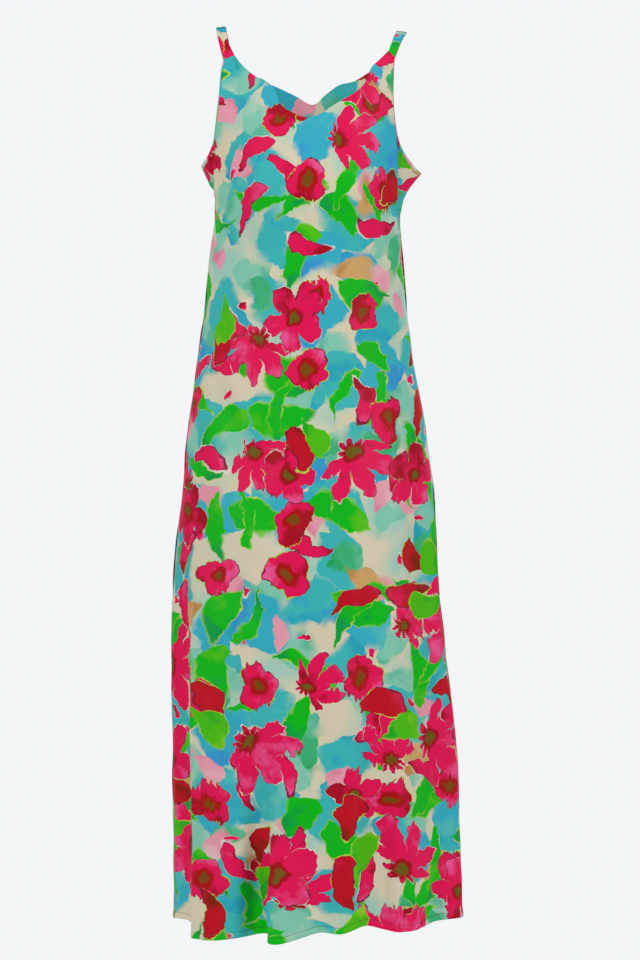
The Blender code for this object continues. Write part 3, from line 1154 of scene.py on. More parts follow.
        edge = sketch.add("Math", {0: gone, 1: self.far_off, 2: edge}, operation="MULTIPLY_ADD")
        if motif.shape is not MotifShape.WASH:
            apart = sketch.add(
                "TexVoronoi", scatter, voronoi_dimensions="2D", feature="DISTANCE_TO_EDGE"
            )
            near = sketch.add(
                "Math", {0: apart, 1: -motif.spacing, 2: self.line_width}, operation="MULTIPLY_ADD"
            )
            edge = sketch.add("Math", {0: edge, 1: near}, operation="MAXIMUM")
        shade = sketch.add("Math", {0: size, 1: self.run_by_size, 2: pooling}, operation="MULTIPLY_ADD")
        tipped = sketch.add("SeparateXYZ", {0: local})
        slope = self.run_of_pigment / motif.reach
        shade = sketch.add("Math", {0: tipped, 1: slope, 2: shade}, operation="MULTIPLY_ADD")
        if motif.petals:
            shade = self.streaked(sketch, local, shade)
        fill = self.pigment(sketch, motif, shade)
        if motif.heart:
            fill = self.heart(sketch, motif, local, fill)
        soft = sketch.add("Math", {0: wet, 1: motif.bleed, 2: motif.soft}, operation="MULTIPLY_ADD")
        if motif.outline:
            lost, full = self.line_band
            width = sketch.add(
                "MapRange", {0: pooling, 1: lost, 2: full, 3: self.line_thin, 4: self.line_width}
            )
            below = self.lay(sketch, edge, width, soft, hex_to_linear(motif.outline), below)
        if motif.rim:
            below = self.lay(sketch, edge, 0.0, soft, hex_to_linear(motif.rim), below)
            bare, full = self.rim_band
            dried = sketch.add("MapRange", {0: pooling, 1: bare, 2: full, 4: self.rim_width})
            edge = sketch.add("Math", {0: edge, 1: dried}, operation="ADD")
        return self.lay(sketch, edge, 0.0, soft, fill, below)

    def streaked(self, sketch: NodeSketch, local: Socket, shade: Socket) -> Socket:
        """Draws the bristles' streaks along a blossom's petals, from its middle outwards.

        Args:
            sketch: The material's nodes.
            local: Places about its middle in mm.
            shade: Where each place is on the pigment's run.

        Returns:
            The run with the streaks in it.
        """
        x = sketch.add("SeparateXYZ", {0: local})
        angle = sketch.add("Math", {0: x.node.outputs[1], 1: x}, operation="ARCTAN2")
        radius = sketch.add("VectorMath", {0: local}, output="Value", operation="LENGTH")
        place = sketch.add("CombineXYZ", {0: angle, 1: radius})
        pitch = (self.streak_pitch, 1 / self.streak_length, 0.0)
        scaled = sketch.add("VectorMath", {0: place, 1: pitch}, operation="MULTIPLY")
        streaks = sketch.add("TexNoise", {"Vector": scaled, "Scale": 1.0, "Detail": 2.0})
        centred = sketch.add("Math", {0: streaks, 1: 0.5}, operation="SUBTRACT")
        return sketch.add("Math", {0: centred, 1: self.streak, 2: shade}, operation="MULTIPLY_ADD")

    def lay(
        self, sketch: NodeSketch, edge: Socket, out: Value, soft: Value, colour: Value, below: Socket
    ) -> Socket:
        """Lays a colour inside an edge.

        Args:
            sketch: The material's nodes.
            edge: The distance outside the motif's edge in mm.
            out: How far beyond that edge the colour goes.
            soft: How far it fades, each way.
            colour: The colour.
            below: The colour under it.

        Returns:
            Both together.
        """
        outer = sketch.add("Math", {0: soft, 1: out}, operation="ADD")
        inner = sketch.add("Math", {0: out, 1: soft}, operation="SUBTRACT")
        inside = sketch.add("MapRange", {0: edge, 1: outer, 2: inner}, interpolation_type="SMOOTHSTEP")
        return sketch.add("Mix", {0: inside, 6: below, 7: colour}, output=2, data_type="RGBA")

    def pigment(self, sketch: NodeSketch, motif: Motif, shade: Socket) -> Socket:
        """Runs a motif's pigment from pooled to thin.

        Args:
            sketch: The material's nodes.
            motif: The kind of motif.
            shade: Where on that run, from 0 to about 1.

        Returns:
            The pigment's colour.
        """
        colour = sketch.add("ValToRGB", {0: shade})
        ramp = colour.node.color_ramp
        pooled, even, thin = motif.shades
        ramp.elements[0].position = self.pooled_below
        ramp.elements[1].position = 1.0
        for place in self.even_band:
            ramp.elements.new(place)
        for element, tint in zip(ramp.elements, (pooled, even, even, thin)):
            element.color = hex_to_linear(tint)
        return colour

    def heart(self, sketch: NodeSketch, motif: Motif, local: Socket, fill: Socket) -> Socket:
        """Paints a blossom's middle.

        Args:
            sketch: The material's nodes.
            motif: The blossom.
            local: Places about its middle in mm.
            fill: The colour of its petals.

        Returns:
            The petals and the middle together.
        """
        radius = sketch.add("VectorMath", {0: local}, output="Value", operation="LENGTH")
        for tint, reach in zip(reversed(motif.heart), self.heart_reaches):
            fill = self.lay(sketch, radius, reach, self.heart_soft, hex_to_linear(tint), fill)
        return fill

    def outline_of(self, sketch: NodeSketch, motif: Motif, local: Socket) -> Socket:
        """Works out how far a place lies outside a motif.

        Args:
            sketch: The material's nodes.
            motif: The kind of motif.
            local: Places about its middle in mm.

        Returns:
            The distance in mm, negative inside.
        """
        x = sketch.add("SeparateXYZ", {0: local})
        y = x.node.outputs[1]
        wide = motif.reach * motif.slim
        if motif.shape in (MotifShape.BLOSSOM, MotifShape.FAN):
            radius = sketch.add("VectorMath", {0: local}, output="Value", operation="LENGTH")
            angle = sketch.add("Math", {0: y, 1: x}, operation="ARCTAN2")
            beat = sketch.add("Math", {0: angle, 1: motif.petals / 2}, operation="MULTIPLY")
            swing = sketch.add("Math", {0: beat}, operation="COSINE")
            petal = sketch.add("Math", {0: swing}, operation="ABSOLUTE")
            round_end = sketch.add("Math", {0: petal, 1: self.petal_roundness}, operation="POWER")
            length = {0: round_end, 1: motif.reach * (1 - motif.slim), 2: wide}
            reach = sketch.add("Math", length, operation="MULTIPLY_ADD")
            if motif.shape is MotifShape.FAN:
                facing = sketch.add("Math", {0: x, 1: radius}, operation="DIVIDE")
                short, full = self.fan_band
                band = {0: facing, 1: short, 2: full, 3: self.fan_shortest}
                open_side = sketch.add("MapRange", band, interpolation_type="SMOOTHSTEP")
                reach = sketch.add("Math", {0: reach, 1: open_side}, operation="MULTIPLY")
            return sketch.add("Math", {0: radius, 1: reach}, operation="SUBTRACT")
        share = sketch.add("Math", {0: x, 1: 1 / motif.reach}, operation="MULTIPLY")
        squared = sketch.add("Math", {0: share, 1: share}, operation="MULTIPLY")
        swung = {0: squared, 1: motif.reach * self.bend, 2: y}
        bent = sketch.add("Math", swung, operation="MULTIPLY_ADD")
        skew = sketch.add("Math", {0: share, 1: self.lopsided, 2: 1.0}, operation="MULTIPLY_ADD")
        if motif.shape is MotifShape.LEAF:
            taper = sketch.add("Math", {0: squared, 1: -wide, 2: wide}, operation="MULTIPLY_ADD")
            half = sketch.add("Math", {0: taper, 1: skew}, operation="MULTIPLY")
            away = sketch.add("Math", {0: bent}, operation="ABSOLUTE")
            return sketch.add("Math", {0: away, 1: half}, operation="SUBTRACT")
        fuller = sketch.add("Math", {0: bent, 1: skew}, operation="DIVIDE")
        sideways = sketch.add("Math", {0: fuller, 1: 1 / wide}, operation="MULTIPLY")
        squashed = sketch.add("CombineXYZ", {0: share, 1: sideways})
        ring = sketch.add("VectorMath", {0: squashed}, output="Value", operation="LENGTH")
        return sketch.add("Math", {0: ring, 1: wide, 2: -wide}, operation="MULTIPLY_ADD")

    def weave(self, sketch: NodeSketch, cloth: Socket) -> Socket:
        """Raises the satin's slanting threads, very faintly. Real ones lie 0.1 mm apart; here one wave,
        7 mm wide, stands for many.

        Args:
            sketch: The material's nodes.
            cloth: Places on the flat cloth in mm.

        Returns:
            The surface direction.
        """
        turn = (0.0, 0.0, math.radians(self.twill_slant))
        slant = sketch.add("Mapping", {"Vector": cloth, "Rotation": turn})
        wave = {"Vector": slant, "Scale": 1 / self.twill_scale, "Distortion": self.twill_waver}
        threads = sketch.add("TexWave", wave, output=1)
        raised = {"Height": threads, "Distance": self.twill_height * MM, "Strength": self.twill_strength}
        return sketch.add("Bump", raised)


@dataclass(frozen=True)
class SewingThread:
    """Spun polyester sewing thread, matt: a greyed sea green unless made darker to paint a shadow line.
    Even the greyed sea green is darker than the real thread, in part painted shade along its stitching, and
    its faint twist is painted shade, a shaded copy mixed in by noise.
    """

    name: str = "spun_polyester_thread"
    # colour is in part painted shade along the row of stitches; shaded is the painted-shade copy that the
    # twist mixes in.
    colour: str = "#4C6058"
    shaded: str = "#33463F"
    roughness: float = 0.7
    twist_pitch: float = 0.8

    def make(self) -> bpy.types.Material:
        """Builds the material.

        Returns:
            The material.
        """
        sketch = NodeSketch(self.name)
        place = sketch.add("TexCoord", {}, output="Object")
        scaled = sketch.add("VectorMath", {0: place, "Scale": 1 / MM / self.twist_pitch}, operation="SCALE")
        # Painted shade along the twist: noise mixes the thread's colour with its shaded copy.
        twist = sketch.add("TexNoise", {"Vector": scaled, "Scale": 1.0})
        tints = {0: twist, 6: hex_to_linear(self.colour), 7: hex_to_linear(self.shaded)}
        colour = sketch.add("Mix", tints, output=2, data_type="RGBA")
        sketch.give(sketch.shader.inputs["Base Color"], colour)
        sketch.shader.inputs["Roughness"].default_value = self.roughness
        return sketch.material


@dataclass(frozen=True)
class PaintedFloor:
    """A painted board floor, smooth and matt, pale grey white, so that it only catches the light."""

    name: str = "matt_painted_floor"
    colour: str = "#EDEFF1"
    roughness: float = 0.9

    def make(self) -> bpy.types.Material:
        """The material, in one coat all over."""
        sketch = NodeSketch(self.name)
        sketch.shader.inputs["Base Color"].default_value = hex_to_linear(self.colour)
        sketch.shader.inputs["Roughness"].default_value = self.roughness
        return sketch.material


@dataclass
class Panel:
    """The front or the back of the dress: one cut piece from its top edge to its turned hem.

    Columns run round it from one side seam to the other, and levels down it: 0 at the top edge, 1 at
    the bust line and 2 at the hem.

    Attributes:
        is_front: Whether it is the front.
        creases: The creases dragged and pressed into it.
        armhole_columns: The columns under each armhole.
        strap_columns: The columns under each strap seam.
        neck_columns: The columns under the neck edge.
        finer: How many mesh columns stand for each of those.
        yoke_rows: Mesh rows from the top edge to the bust line.
        skirt_rows: Mesh rows from the bust line to the hem.
        wall: The cloth's wall in mm.
        yoke_length: The mean length from the top edge to the bust line, in mm.
        yoke_crowding: The power that draws the yoke's rows to its top edge.
        hem_turning: How far the hem is turned up, in mm.
        turning_rise: How far the turning lifts the cloth over it, in mm.
        turning_edge: Between which heights above the hem's edge that ends, in mm.
        layer_gap: The gap between the turning and the cloth over it, in mm.
        turning_shift: How far from the cloth over it the turning's print is taken, in mm.
        seam_gap: How far from the middle plane the side edges stay, in mm.
        seam_column_share: How far up the armhole the first column starts.
        seam_column_turn: How far round the body that column is from the side, in degrees.
        quiet_ripples: How strong the ripples are above quiet_band, from 0 to 1.
        quiet_band: Between which depths below the shoulders they grow to full strength, in mm.
        clear_band: How far below the top edge a corner's lap starts, and is full, in mm.
        cup_across: How far from the middle a cup's centre is, in mm.
        cup_down: How far below the shoulders it is, in mm.
        cup_half_width: Half the cup's width, in mm.
        cup_half_height: Half its height, in mm.
        cup_rise: How far it swells, in mm.
        ridge: The height of the ridge beside a crease, as a share of the crease's depth.
        ridge_away: How far it is from the crease's middle, as a share of the crease's width.
        ridge_width: Its width, as a share of that width.
        crease_grown: The share of a crease's length at which it is full.
        crease_fades: The share from which it fades.
        arc_steps: How many steps an arc is measured in.
    """

    is_front: bool
    creases: Sequence[Crease]
    armhole_columns: int = 10
    strap_columns: int = 2
    neck_columns: int = 20
    finer: int = 5
    yoke_rows: int = 50
    skirt_rows: int = 132
    wall: float = 0.5
    yoke_length: float = 200.0
    yoke_crowding: float = 1.25
    hem_turning: float = 10.0
    turning_rise: float = 0.45
    turning_edge: tuple[float, float] = (8.9, 10.2)
    layer_gap: float = 0.25
    turning_shift: float = 37.0
    seam_gap: float = 0.1
    seam_column_share: float = 0.02
    seam_column_turn: float = 2.0
    quiet_ripples: float = 0.35
    quiet_band: tuple[float, float] = (60.0, 420.0)
    clear_band: tuple[float, float] = (4.0, 13.0)
    cup_across: float = 72.0
    cup_down: float = 246.0
    cup_half_width: float = 47.0
    cup_half_height: float = 52.0
    cup_rise: float = 16.0
    ridge: float = 0.45
    ridge_away: float = 1.7
    ridge_width: float = 1.2
    crease_grown: float = 0.3
    crease_fades: float = 0.5
    arc_steps: int = 24

    def __post_init__(self) -> None:
        """Works out the panel's grid of places."""
        self.name = "front" if self.is_front else "back"
        self.sign = -1 if self.is_front else 1
        self.cut_from = FRONT_CUT_FROM if self.is_front else BACK_CUT_FROM
        self.columns = 2 * self.armhole_columns + 2 * self.strap_columns + self.neck_columns
        first, last = (Side.LEFT, Side.RIGHT) if self.is_front else (Side.RIGHT, Side.LEFT)
        self.armholes = (self.armhole(first), self.armhole(last))
        neck = FRONT_NECK if self.is_front else tuple(reversed(BACK_NECK))
        self.neck = np.array([(row.across, self.sign * row.depth, -row.down) for row in neck])
        self.column = np.linspace(0, self.columns, self.columns * self.finer + 1)
        self.level = self.levels()
        self.turn = self.turns(self.column)
        self.hem_down = read_table(HEM, self.turn)[:, 0]
        self.places, self.flat = self.lay_out()
        self.out = self.directions(self.places)
        self.places = self.places + self.out * self.relief()[..., None] + self.lapping()
        self.out = self.directions(self.places)

    def levels(self) -> Places:
        """The mesh rows' levels, closer together at the top edge and at the hem."""
        yoke = np.linspace(0, 1, self.yoke_rows + 1) ** self.yoke_crowding
        skirt = 1 + np.linspace(0, 1, self.skirt_rows + 1)[1:]
        hem = 2 - np.array(HEM_ROWS) / SKIRT_LENGTH
        clear_of_hem = skirt < hem[0] - HEM_ROW_GAP
        return np.r_[yoke, skirt[clear_of_hem], hem, 2]

    def armhole(self, side: Side) -> Places:
        """Reads the armhole edge on one side.

        Args:
            side: Which side.

        Returns:
            Its places from the underarm corner up to the strap, one a row.
        """
        left = side is Side.LEFT
        corner = CORNER_LEFT if left else CORNER_RIGHT
        top = ARMHOLE_TOP_LEFT_DOWN if left else ARMHOLE_TOP_RIGHT_DOWN
        points = []
        for row in ARMHOLE:
            inset = row.inset_left if left else -row.inset_right
            depth = row.forward if self.is_front else row.backward
            down = corner[1] - row.up * (corner[1] - top)
            points.append((corner[0] + inset, self.sign * depth, -down))
        return np.array(points)

    def turns(self, column: Places) -> Places:
        """Reads how far round the body columns cross the bust line.

        Args:
            column: The columns.

        Returns:
            Degrees from the front.
        """
        middle = self.columns / 2
        away = np.abs(column - middle)
        inner = away / (middle - 1) * (90 - self.seam_column_turn)
        outer = 90 - self.seam_column_turn * (middle - away)
        turn = np.where(away <= middle - 1, inner, outer) * np.sign(column - middle)
        return turn if self.is_front else 180 + turn

    def top_edge(self) -> Places:
        """The place at which each mesh column starts: on an armhole, a strap seam or the neck."""
        edge = np.empty((len(self.column), 3))
        share = self.seam_column_share
        for armhole, inner, from_end in (
            (self.armholes[0], self.neck[0], self.column),
            (self.armholes[1], self.neck[-1], self.columns - self.column),
        ):
            corner = from_end <= 1
            edge[corner] = along(armhole, share * from_end[corner])
            side = (from_end > 1) & (from_end <= self.armhole_columns)
            up = (from_end[side] - 1) / (self.armhole_columns - 1)
            edge[side] = along(armhole, share + (1 - share) * up)
            past = from_end - self.armhole_columns
            strap = (past > 0) & (past <= self.strap_columns)
            across = (past[strap] / self.strap_columns)[:, None]
            edge[strap] = armhole[-1] * (1 - across) + inner * across
        neck = self.column - self.armhole_columns - self.strap_columns
        inside = (neck >= 0) & (neck <= self.neck_columns)
        edge[inside] = along(self.neck, neck[inside] / self.neck_columns)
        return edge

    def lay_out(self) -> tuple[Places, Places]:
        """Lays the panel round the body.

        Returns:
            The places in mm, by level and column, and the same places on the flat cloth.
        """
        level, turn = np.meshgrid(self.level, self.turn, indexing="ij")
        hanging = np.clip(level - 1, 0, 1) * (self.hem_down - BUST_LINE_DOWN)
        skirt = skirt_place(turn, BUST_LINE_DOWN + hanging)
        bust = skirt_place(self.turn, np.full_like(self.turn, BUST_LINE_DOWN))
        below = skirt_place(self.turn, np.full_like(self.turn, BUST_LINE_DOWN + 1))
        top = self.top_edge()
        reach = np.linalg.norm(bust - top, axis=1, keepdims=True)
        slant = (bust - top) * (TOP_EDGE_SLANT, TOP_EDGE_SLANT, 1)
        share = np.clip(level, 0, 1)[..., None]
        arriving = unit(below - bust) * reach * BUST_LINE_PULL
        yoke = hermite(top, unit(slant) * reach, bust, arriving, share)
        places = np.where(level[..., None] >= 1, skirt, yoke)
        flat = self.flatten(places, turn, level)
        if self.is_front:
            for centre in (-self.cup_across, self.cup_across):
                wide = (places[..., 0] - centre) / self.cup_half_width
                high = (-places[..., 2] - self.cup_down) / self.cup_half_height
                places[..., 1] -= self.cup_rise * bell(wide) * bell(high)
        return places, flat

    def flatten(self, places: Places, turn: Places, level: Places) -> Places:
        """Finds where places lie on the flat printed cloth, across it from its edge and up it.

        Args:
            places: The places in mm, without the cups.
            turn: Degrees round the body of each column.
            level: The level of each place.

        Returns:
            Across and up in mm, down being negative, along a last axis.
        """
        down = np.maximum(-places[..., 2], BUST_LINE_DOWN)
        section = read_table(SECTIONS, down)
        side = np.where(places[..., 0] > 0, section[..., 1], section[..., 0])
        depth = section[..., 2] if self.is_front else section[..., 3]
        seen = np.arctan2(places[..., 0] / side, np.abs(places[..., 1]) / depth)
        along_row = np.radians(turn if self.is_front else 180 - turn)
        angle = np.where(level >= 1, along_row, seen)
        steps = (np.arange(self.arc_steps) + 0.5) / self.arc_steps
        swept = angle[..., None] * steps
        arc = np.hypot(side[..., None] * np.cos(swept), depth[..., None] * np.sin(swept)).mean(axis=-1)
        return np.stack((angle * arc + self.cut_from, places[..., 2]), axis=-1)

    def directions(self, places: Places) -> Places:
        """Finds the directions out of the cloth.

        Args:
            places: The places in mm, by level and column.

        Returns:
            A unit vector for each.
        """
        down, across = np.gradient(places, axis=0), np.gradient(places, axis=1)
        return unit(np.cross(down, across))

    def above_hem(self) -> Places:
        """How far each place is above the hem's edge in mm, by level and column."""
        return (2 - self.level)[:, None] * (self.hem_down - BUST_LINE_DOWN)[None, :]

    def relief(self) -> Places:
        """Raises creases, ripples, the turned hem and the seams.

        Returns:
            How far out each place is moved, in mm.
        """
        height = np.zeros(self.places.shape[:2])
        across, down = self.flat[..., 0], -self.flat[..., 1]
        for ripple in RIPPLES:
            way = math.radians(ripple.way)
            run = across * math.cos(way) + down * math.sin(way)
            height += ripple.height * np.sin(2 * math.pi * run / ripple.length + ripple.phase)
        height *= self.quiet_ripples + (1 - self.quiet_ripples) * smooth(down, *self.quiet_band)
        for crease in self.creases:
            height += self.crease_height(crease)
        above = self.above_hem()
        height += self.turning_rise * (1 - smooth(above, *self.turning_edge))
        height -= pressed(above - STITCH_LINE, HEM_TROUGH)
        height += self.puckers(across, above)
        from_seam = np.minimum(np.abs(across - across[:, :1]), np.abs(across[:, -1:] - across))
        height -= pressed(from_seam, SIDE_SEAM_TROUGH)
        from_top = self.level[:, None] * self.yoke_length
        height -= pressed(from_top, TOP_EDGE_TROUGH) * (self.level[:, None] < 1)
        return height

    def puckers(self, across: Places, above: Places) -> Places:
        """Draws the hem into small puckers.

        Args:
            across: mm across the flat cloth.
            above: mm above the hem's edge.

        Returns:
            How far out each place is moved, in mm.
        """
        drift = HEM_PUCKER.swing * np.sin(across / HEM_PUCKER.drift)
        wave = np.sin(across / HEM_PUCKER.pitch + drift)
        return HEM_PUCKER.height * wave * bell((above - HEM_PUCKER.middle) / HEM_PUCKER.half_height)

    def lapping(self) -> Places:
        """Laps the body's cloth over the wings at the underarm corners, just below the armhole's edge.

        Returns:
            How far each place is moved, in mm.
        """
        moves = np.zeros_like(self.places)
        across, down = self.places[..., 0], -self.places[..., 2]
        clear = smooth(self.level[:, None] * self.yoke_length, *self.clear_band)
        for lap in CORNER_LAPS:
            towards = math.copysign(1.0, lap.across)
            away = np.clip((across - lap.across) * towards / lap.half_width, -1, 1)
            strength = to_and_fro(away) * clear * smooth(down, lap.starts_down, lap.full_down)
            strength *= 1 - smooth(down, lap.fades_down, lap.ends_down)
            moves -= strength[..., None] * (lap.step * self.out + (lap.over * towards, 0.0, 0.0))
        return moves

    def crease_height(self, crease: Crease) -> Places:
        """Works out one crease.

        Args:
            crease: The crease.

        Returns:
            How far out it moves each place, in mm.
        """
        start = self.nearest(crease.from_across, crease.from_down)
        way = self.nearest(crease.to_across, crease.to_down) - start
        length = np.linalg.norm(way)
        from_start = self.flat - start
        share = np.clip(from_start @ way / length**2, 0, 1)
        sideways = np.array((-way[1], way[0])) / length
        nearest = share[..., None] * way + (crease.bow * np.sin(np.pi * share))[..., None] * sideways
        offset = from_start - nearest
        side = np.sign(offset @ sideways)
        away = np.linalg.norm(offset, axis=-1) * side / crease.width
        strength = crease.start + (1 - crease.start) * smooth(share, 0, self.crease_grown)
        strength = strength * (1 - smooth(share, self.crease_fades, 1))
        ridge = self.ridge * bell((away - self.ridge_away) / self.ridge_width)
        return crease.depth * strength * (ridge - bell(away))

    def nearest(self, across: float, down: float) -> Places:
        """Finds a place given as it is seen from the front or the back.

        Args:
            across: mm to the right of the middle as the front is seen.
            down: mm below the shoulders.

        Returns:
            The place on the flat cloth.
        """
        away = (self.places[..., 0] - across) ** 2 + (self.places[..., 2] + down) ** 2
        return self.flat.reshape(-1, 2)[away.argmin()]

    def build(self) -> bpy.types.Object:
        """Makes the panel's mesh.

        Returns:
            The panel.
        """
        depth = np.maximum(self.sign * self.places[..., 1], self.seam_gap)
        self.places[..., 1] = self.sign * depth
        piece = sheet_mesh(self.name, self.places, self.flat)
        give_wall(piece, self.wall)
        return piece

    def build_hem_turning(self) -> bpy.types.Object:
        """Makes the part of the hem that is turned up inside.

        Returns:
            The turning.
        """
        first = int(np.argmax(self.level > 2 - self.hem_turning / SKIRT_LENGTH))
        places = self.places[first:] - self.out[first:] * (self.wall + self.layer_gap)
        flat = self.flat[first:] + (self.turning_shift, 0.0)
        piece = sheet_mesh(f"hem_turning_{self.name}", places, flat)
        give_wall(piece, self.wall)
        return piece

    def stitches(self) -> bpy.types.Object:
        """Sews the row of stitches that holds the hem.

        Returns:
            The stitches, as one piece.
        """
        row = int(np.argmin(np.abs(self.level - (2 - STITCH_LINE / SKIRT_LENGTH))))
        return sew_row(f"hem_stitches_{self.name}", self.places[row], self.out[row], HEM_STITCH)


class Stitch(NamedTuple):
    """A stitch's size in mm: its length, the pitch of its row, its half thickness and how far it stands
    out. The thread is drawn thicker than a real one, so that it shows."""

    length: float
    pitch: float
    thick: float
    lift: float


HEM_STITCH = Stitch(length=2.9, pitch=3.4, thick=0.45, lift=0.2)
# The strap seam's stitches are drawn thick so that, near black, they paint the shadow line over each
# strap's top.
SEAM_STITCH = Stitch(length=2.7, pitch=2.5, thick=1.0, lift=0.4)


def sew_row(name: str, line: Places, out: Places, stitch: Stitch) -> bpy.types.Object:
    """Sews a row of stitches along a line on the cloth.

    Args:
        name: The row's name.
        line: The places it goes through, in mm.
        out: The directions out of the cloth there.
        stitch: The stitches' size.

    Returns:
        The stitches, as one piece.
    """
    length, pitch, thick, lift = stitch
    reached = distances(line)
    count = int(reached[-1] / pitch)
    start = (reached[-1] - count * pitch) / 2
    vertices: list[Vector] = []
    faces: list[tuple[int, int, int]] = []

    def at(distance: float) -> tuple[Vector, Vector]:
        """The place and the way out at a distance along the line."""
        place = Vector([np.interp(distance, reached, line[:, axis]) for axis in range(3)])
        way = Vector([np.interp(distance, reached, out[:, axis]) for axis in range(3)])
        return place, way.normalized()

    for number in range(count):
        middle = start + (number + 0.5) * pitch
        place, way_out = at(middle)
        ahead = (at(middle + length / 2)[0] - at(middle - length / 2)[0]).normalized()
        across = ahead.cross(way_out)
        centre = place + way_out * lift
        corners = (
            centre - ahead * length / 2,
            centre + way_out * thick,
            centre + across * thick,
            centre - way_out * thick,
            centre - across * thick,
            centre + ahead * length / 2,
        )
        first = len(vertices)
        vertices += [corner * MM for corner in corners]
        for side in range(4):
            here, there = first + 1 + side, first + 1 + (side + 1) % 4
            faces += [(first, there, here), (first + 5, here, there)]
    mesh = bpy.data.meshes.new(name)
    mesh.from_pydata(vertices, [], faces)
    mesh.shade_smooth()
    piece = bpy.data.objects.new(name, mesh)
    bpy.context.scene.collection.objects.link(piece)
    return piece


class BindingStep(NamedTuple):
    """A step round a binding's section: how far below the armhole's edge, and how far out, in mm."""

    below: float
    out: float


BINDING_SECTION = (
    BindingStep(below=6.0, out=0.05),
    BindingStep(below=5.6, out=0.42),
    BindingStep(below=4.4, out=0.6),
    BindingStep(below=2.6, out=0.66),
    BindingStep(below=1.0, out=0.6),
    BindingStep(below=0.1, out=0.4),
    BindingStep(below=-0.45, out=-0.1),
    BindingStep(below=-0.4, out=-0.6),
    BindingStep(below=0.2, out=-1.0),
    BindingStep(below=2.5, out=-1.1),
    BindingStep(below=5.2, out=-0.75),
)


@dataclass
class ArmholeBinding:
    """The strip that wraps an armhole's edge, from the front strap seam under the arm to the back one.

    Attributes:
        side: Which armhole.
        front: The front panel.
        back: The back panel.
        wall: Its wall in mm.
        cloth_width: The width of printed cloth on it, in mm.
        cut_across: Where it is cut from that cloth on the left and on the right, in mm across.
        cut_down: How far down the cloth it is cut, in mm.
        rows_under: How many of a panel's mesh rows it lies on.
    """

    side: Side
    front: Panel
    back: Panel
    wall: float = 0.3
    cloth_width: float = 18.0
    cut_across: tuple[float, float] = (230.0, 1010.0)
    cut_down: float = 90.0
    rows_under: int = 12

    def build(self) -> bpy.types.Object:
        """Makes the binding from the panels' own points.

        Returns:
            The binding.
        """
        left = self.side is Side.LEFT
        count = self.front.armhole_columns * self.front.finer
        last = self.front.columns * self.front.finer
        front_columns = range(count, -1, -1) if left else range(last - count, last + 1)
        back_columns = range(last, last - count - 1, -1) if left else range(count + 1)
        lines = [self.section(self.front, column) for column in front_columns]
        back_lines = [self.section(self.back, column) for column in back_columns]
        lines[-1] = (lines[-1] + back_lines[0]) / 2
        places = np.array(lines + back_lines[1:])
        if not left:
            places = places[:, ::-1]
        widths = np.linspace(0, self.cloth_width, places.shape[1])
        across, down = np.meshgrid(widths, distances(places[:, 0]))
        cut_from = self.cut_across[0] if left else self.cut_across[1]
        flat = np.stack((across + cut_from, -down - self.cut_down), axis=-1)
        name = f"binding_{self.side.value}"
        piece = sheet_mesh(name, places.transpose(1, 0, 2), flat.transpose(1, 0, 2))
        give_wall(piece, self.wall)
        return piece

    def section(self, panel: Panel, column: int) -> Places:
        """Lays the binding's section on a panel.

        Args:
            panel: The panel.
            column: Which mesh column.

        Returns:
            The section's places in mm, from its outer edge round the armhole's edge to the inside.
        """
        line, out = panel.places[: self.rows_under, column], panel.out[: self.rows_under, column]
        reached = distances(line)
        ahead = unit(line[1] - line[0])
        places = []
        for step in BINDING_SECTION:
            below = max(step.below, 0)
            place = np.array([np.interp(below, reached, line[:, axis]) for axis in range(3)])
            way = np.array([np.interp(below, reached, out[:, axis]) for axis in range(3)])
            places.append(place + ahead * min(step.below, 0) + way * step.out)
        return np.array(places)


@dataclass
class Strap:
    """A shoulder strap: a strip with turned edges, from its seam on the front to its seam on the back.

    Attributes:
        side: Which shoulder.
        rungs: Its rungs, from the front to the back.
        rows: Mesh rows along it.
        columns: Mesh columns across it.
        crown: How far its middle stands above its edges, in mm.
        crown_power: How flat its middle is and how sharp its edges are.
        join: Where its front and back halves are sewn together, as a share of its length.
        wall: Its wall in mm.
        cloth_width: The width of printed cloth on it, in mm.
        cut_across: Where it is cut from that cloth on the left and on the right, in mm across.
        cut_down: How far down the cloth it is cut, in mm.
    """

    side: Side
    rungs: Sequence[StrapRung]
    rows: int = 200
    columns: int = 14
    crown: float = 0.7
    crown_power: float = 4.0
    join: float = 0.4
    wall: float = 0.9
    cloth_width: float = 16.0
    cut_across: tuple[float, float] = (150.0, 530.0)
    cut_down: float = 420.0

    def build(self) -> tuple[bpy.types.Object, bpy.types.Object]:
        """Makes the strap's mesh and the stitches of its seam.

        Returns:
            The strap and its stitches.
        """
        sign = -1 if self.side is Side.LEFT else 1
        inner = np.array([(sign * rung.inner, rung.depth, -rung.inner_down) for rung in self.rungs])
        outer = np.array([(sign * rung.outer, rung.depth, -rung.outer_down) for rung in self.rungs])
        share = np.linspace(0, 1, self.rows + 1)
        first, last = along(inner, share), along(outer, share)
        if sign > 0:
            first, last = last, first
        across = np.linspace(0, 1, self.columns + 1)[None, :, None]
        places = first[:, None] * (1 - across) + last[:, None] * across
        down, side = np.gradient(places, axis=0), np.gradient(places, axis=1)
        out = -unit(np.cross(side, down))
        below_crown = -self.crown * np.abs(2 * across[..., 0] - 1) ** self.crown_power
        length = distances(places[:, 0])
        row = round(self.rows * self.join)
        sunk = pressed(length - length[row], STRAP_JOIN_TROUGH)
        places = places + out * (below_crown - sunk[:, None])[..., None]
        wide, long = np.meshgrid(np.linspace(0, self.cloth_width, self.columns + 1), length)
        cut_from = self.cut_across[0] if sign < 0 else self.cut_across[1]
        flat = np.stack((wide + cut_from, -long - self.cut_down), axis=-1)
        piece = sheet_mesh(f"strap_{self.side.value}", places, flat)
        give_wall(piece, self.wall)
        return piece, sew_row(f"strap_shadow_stitches_{self.side.value}", places[row], out[row], SEAM_STITCH)


class StudioLight(NamedTuple):
    """A soft square light: where it hangs and the length of its side in metres, and its power in watts."""

    name: str
    place: tuple[float, float, float]
    side: float
    power: float


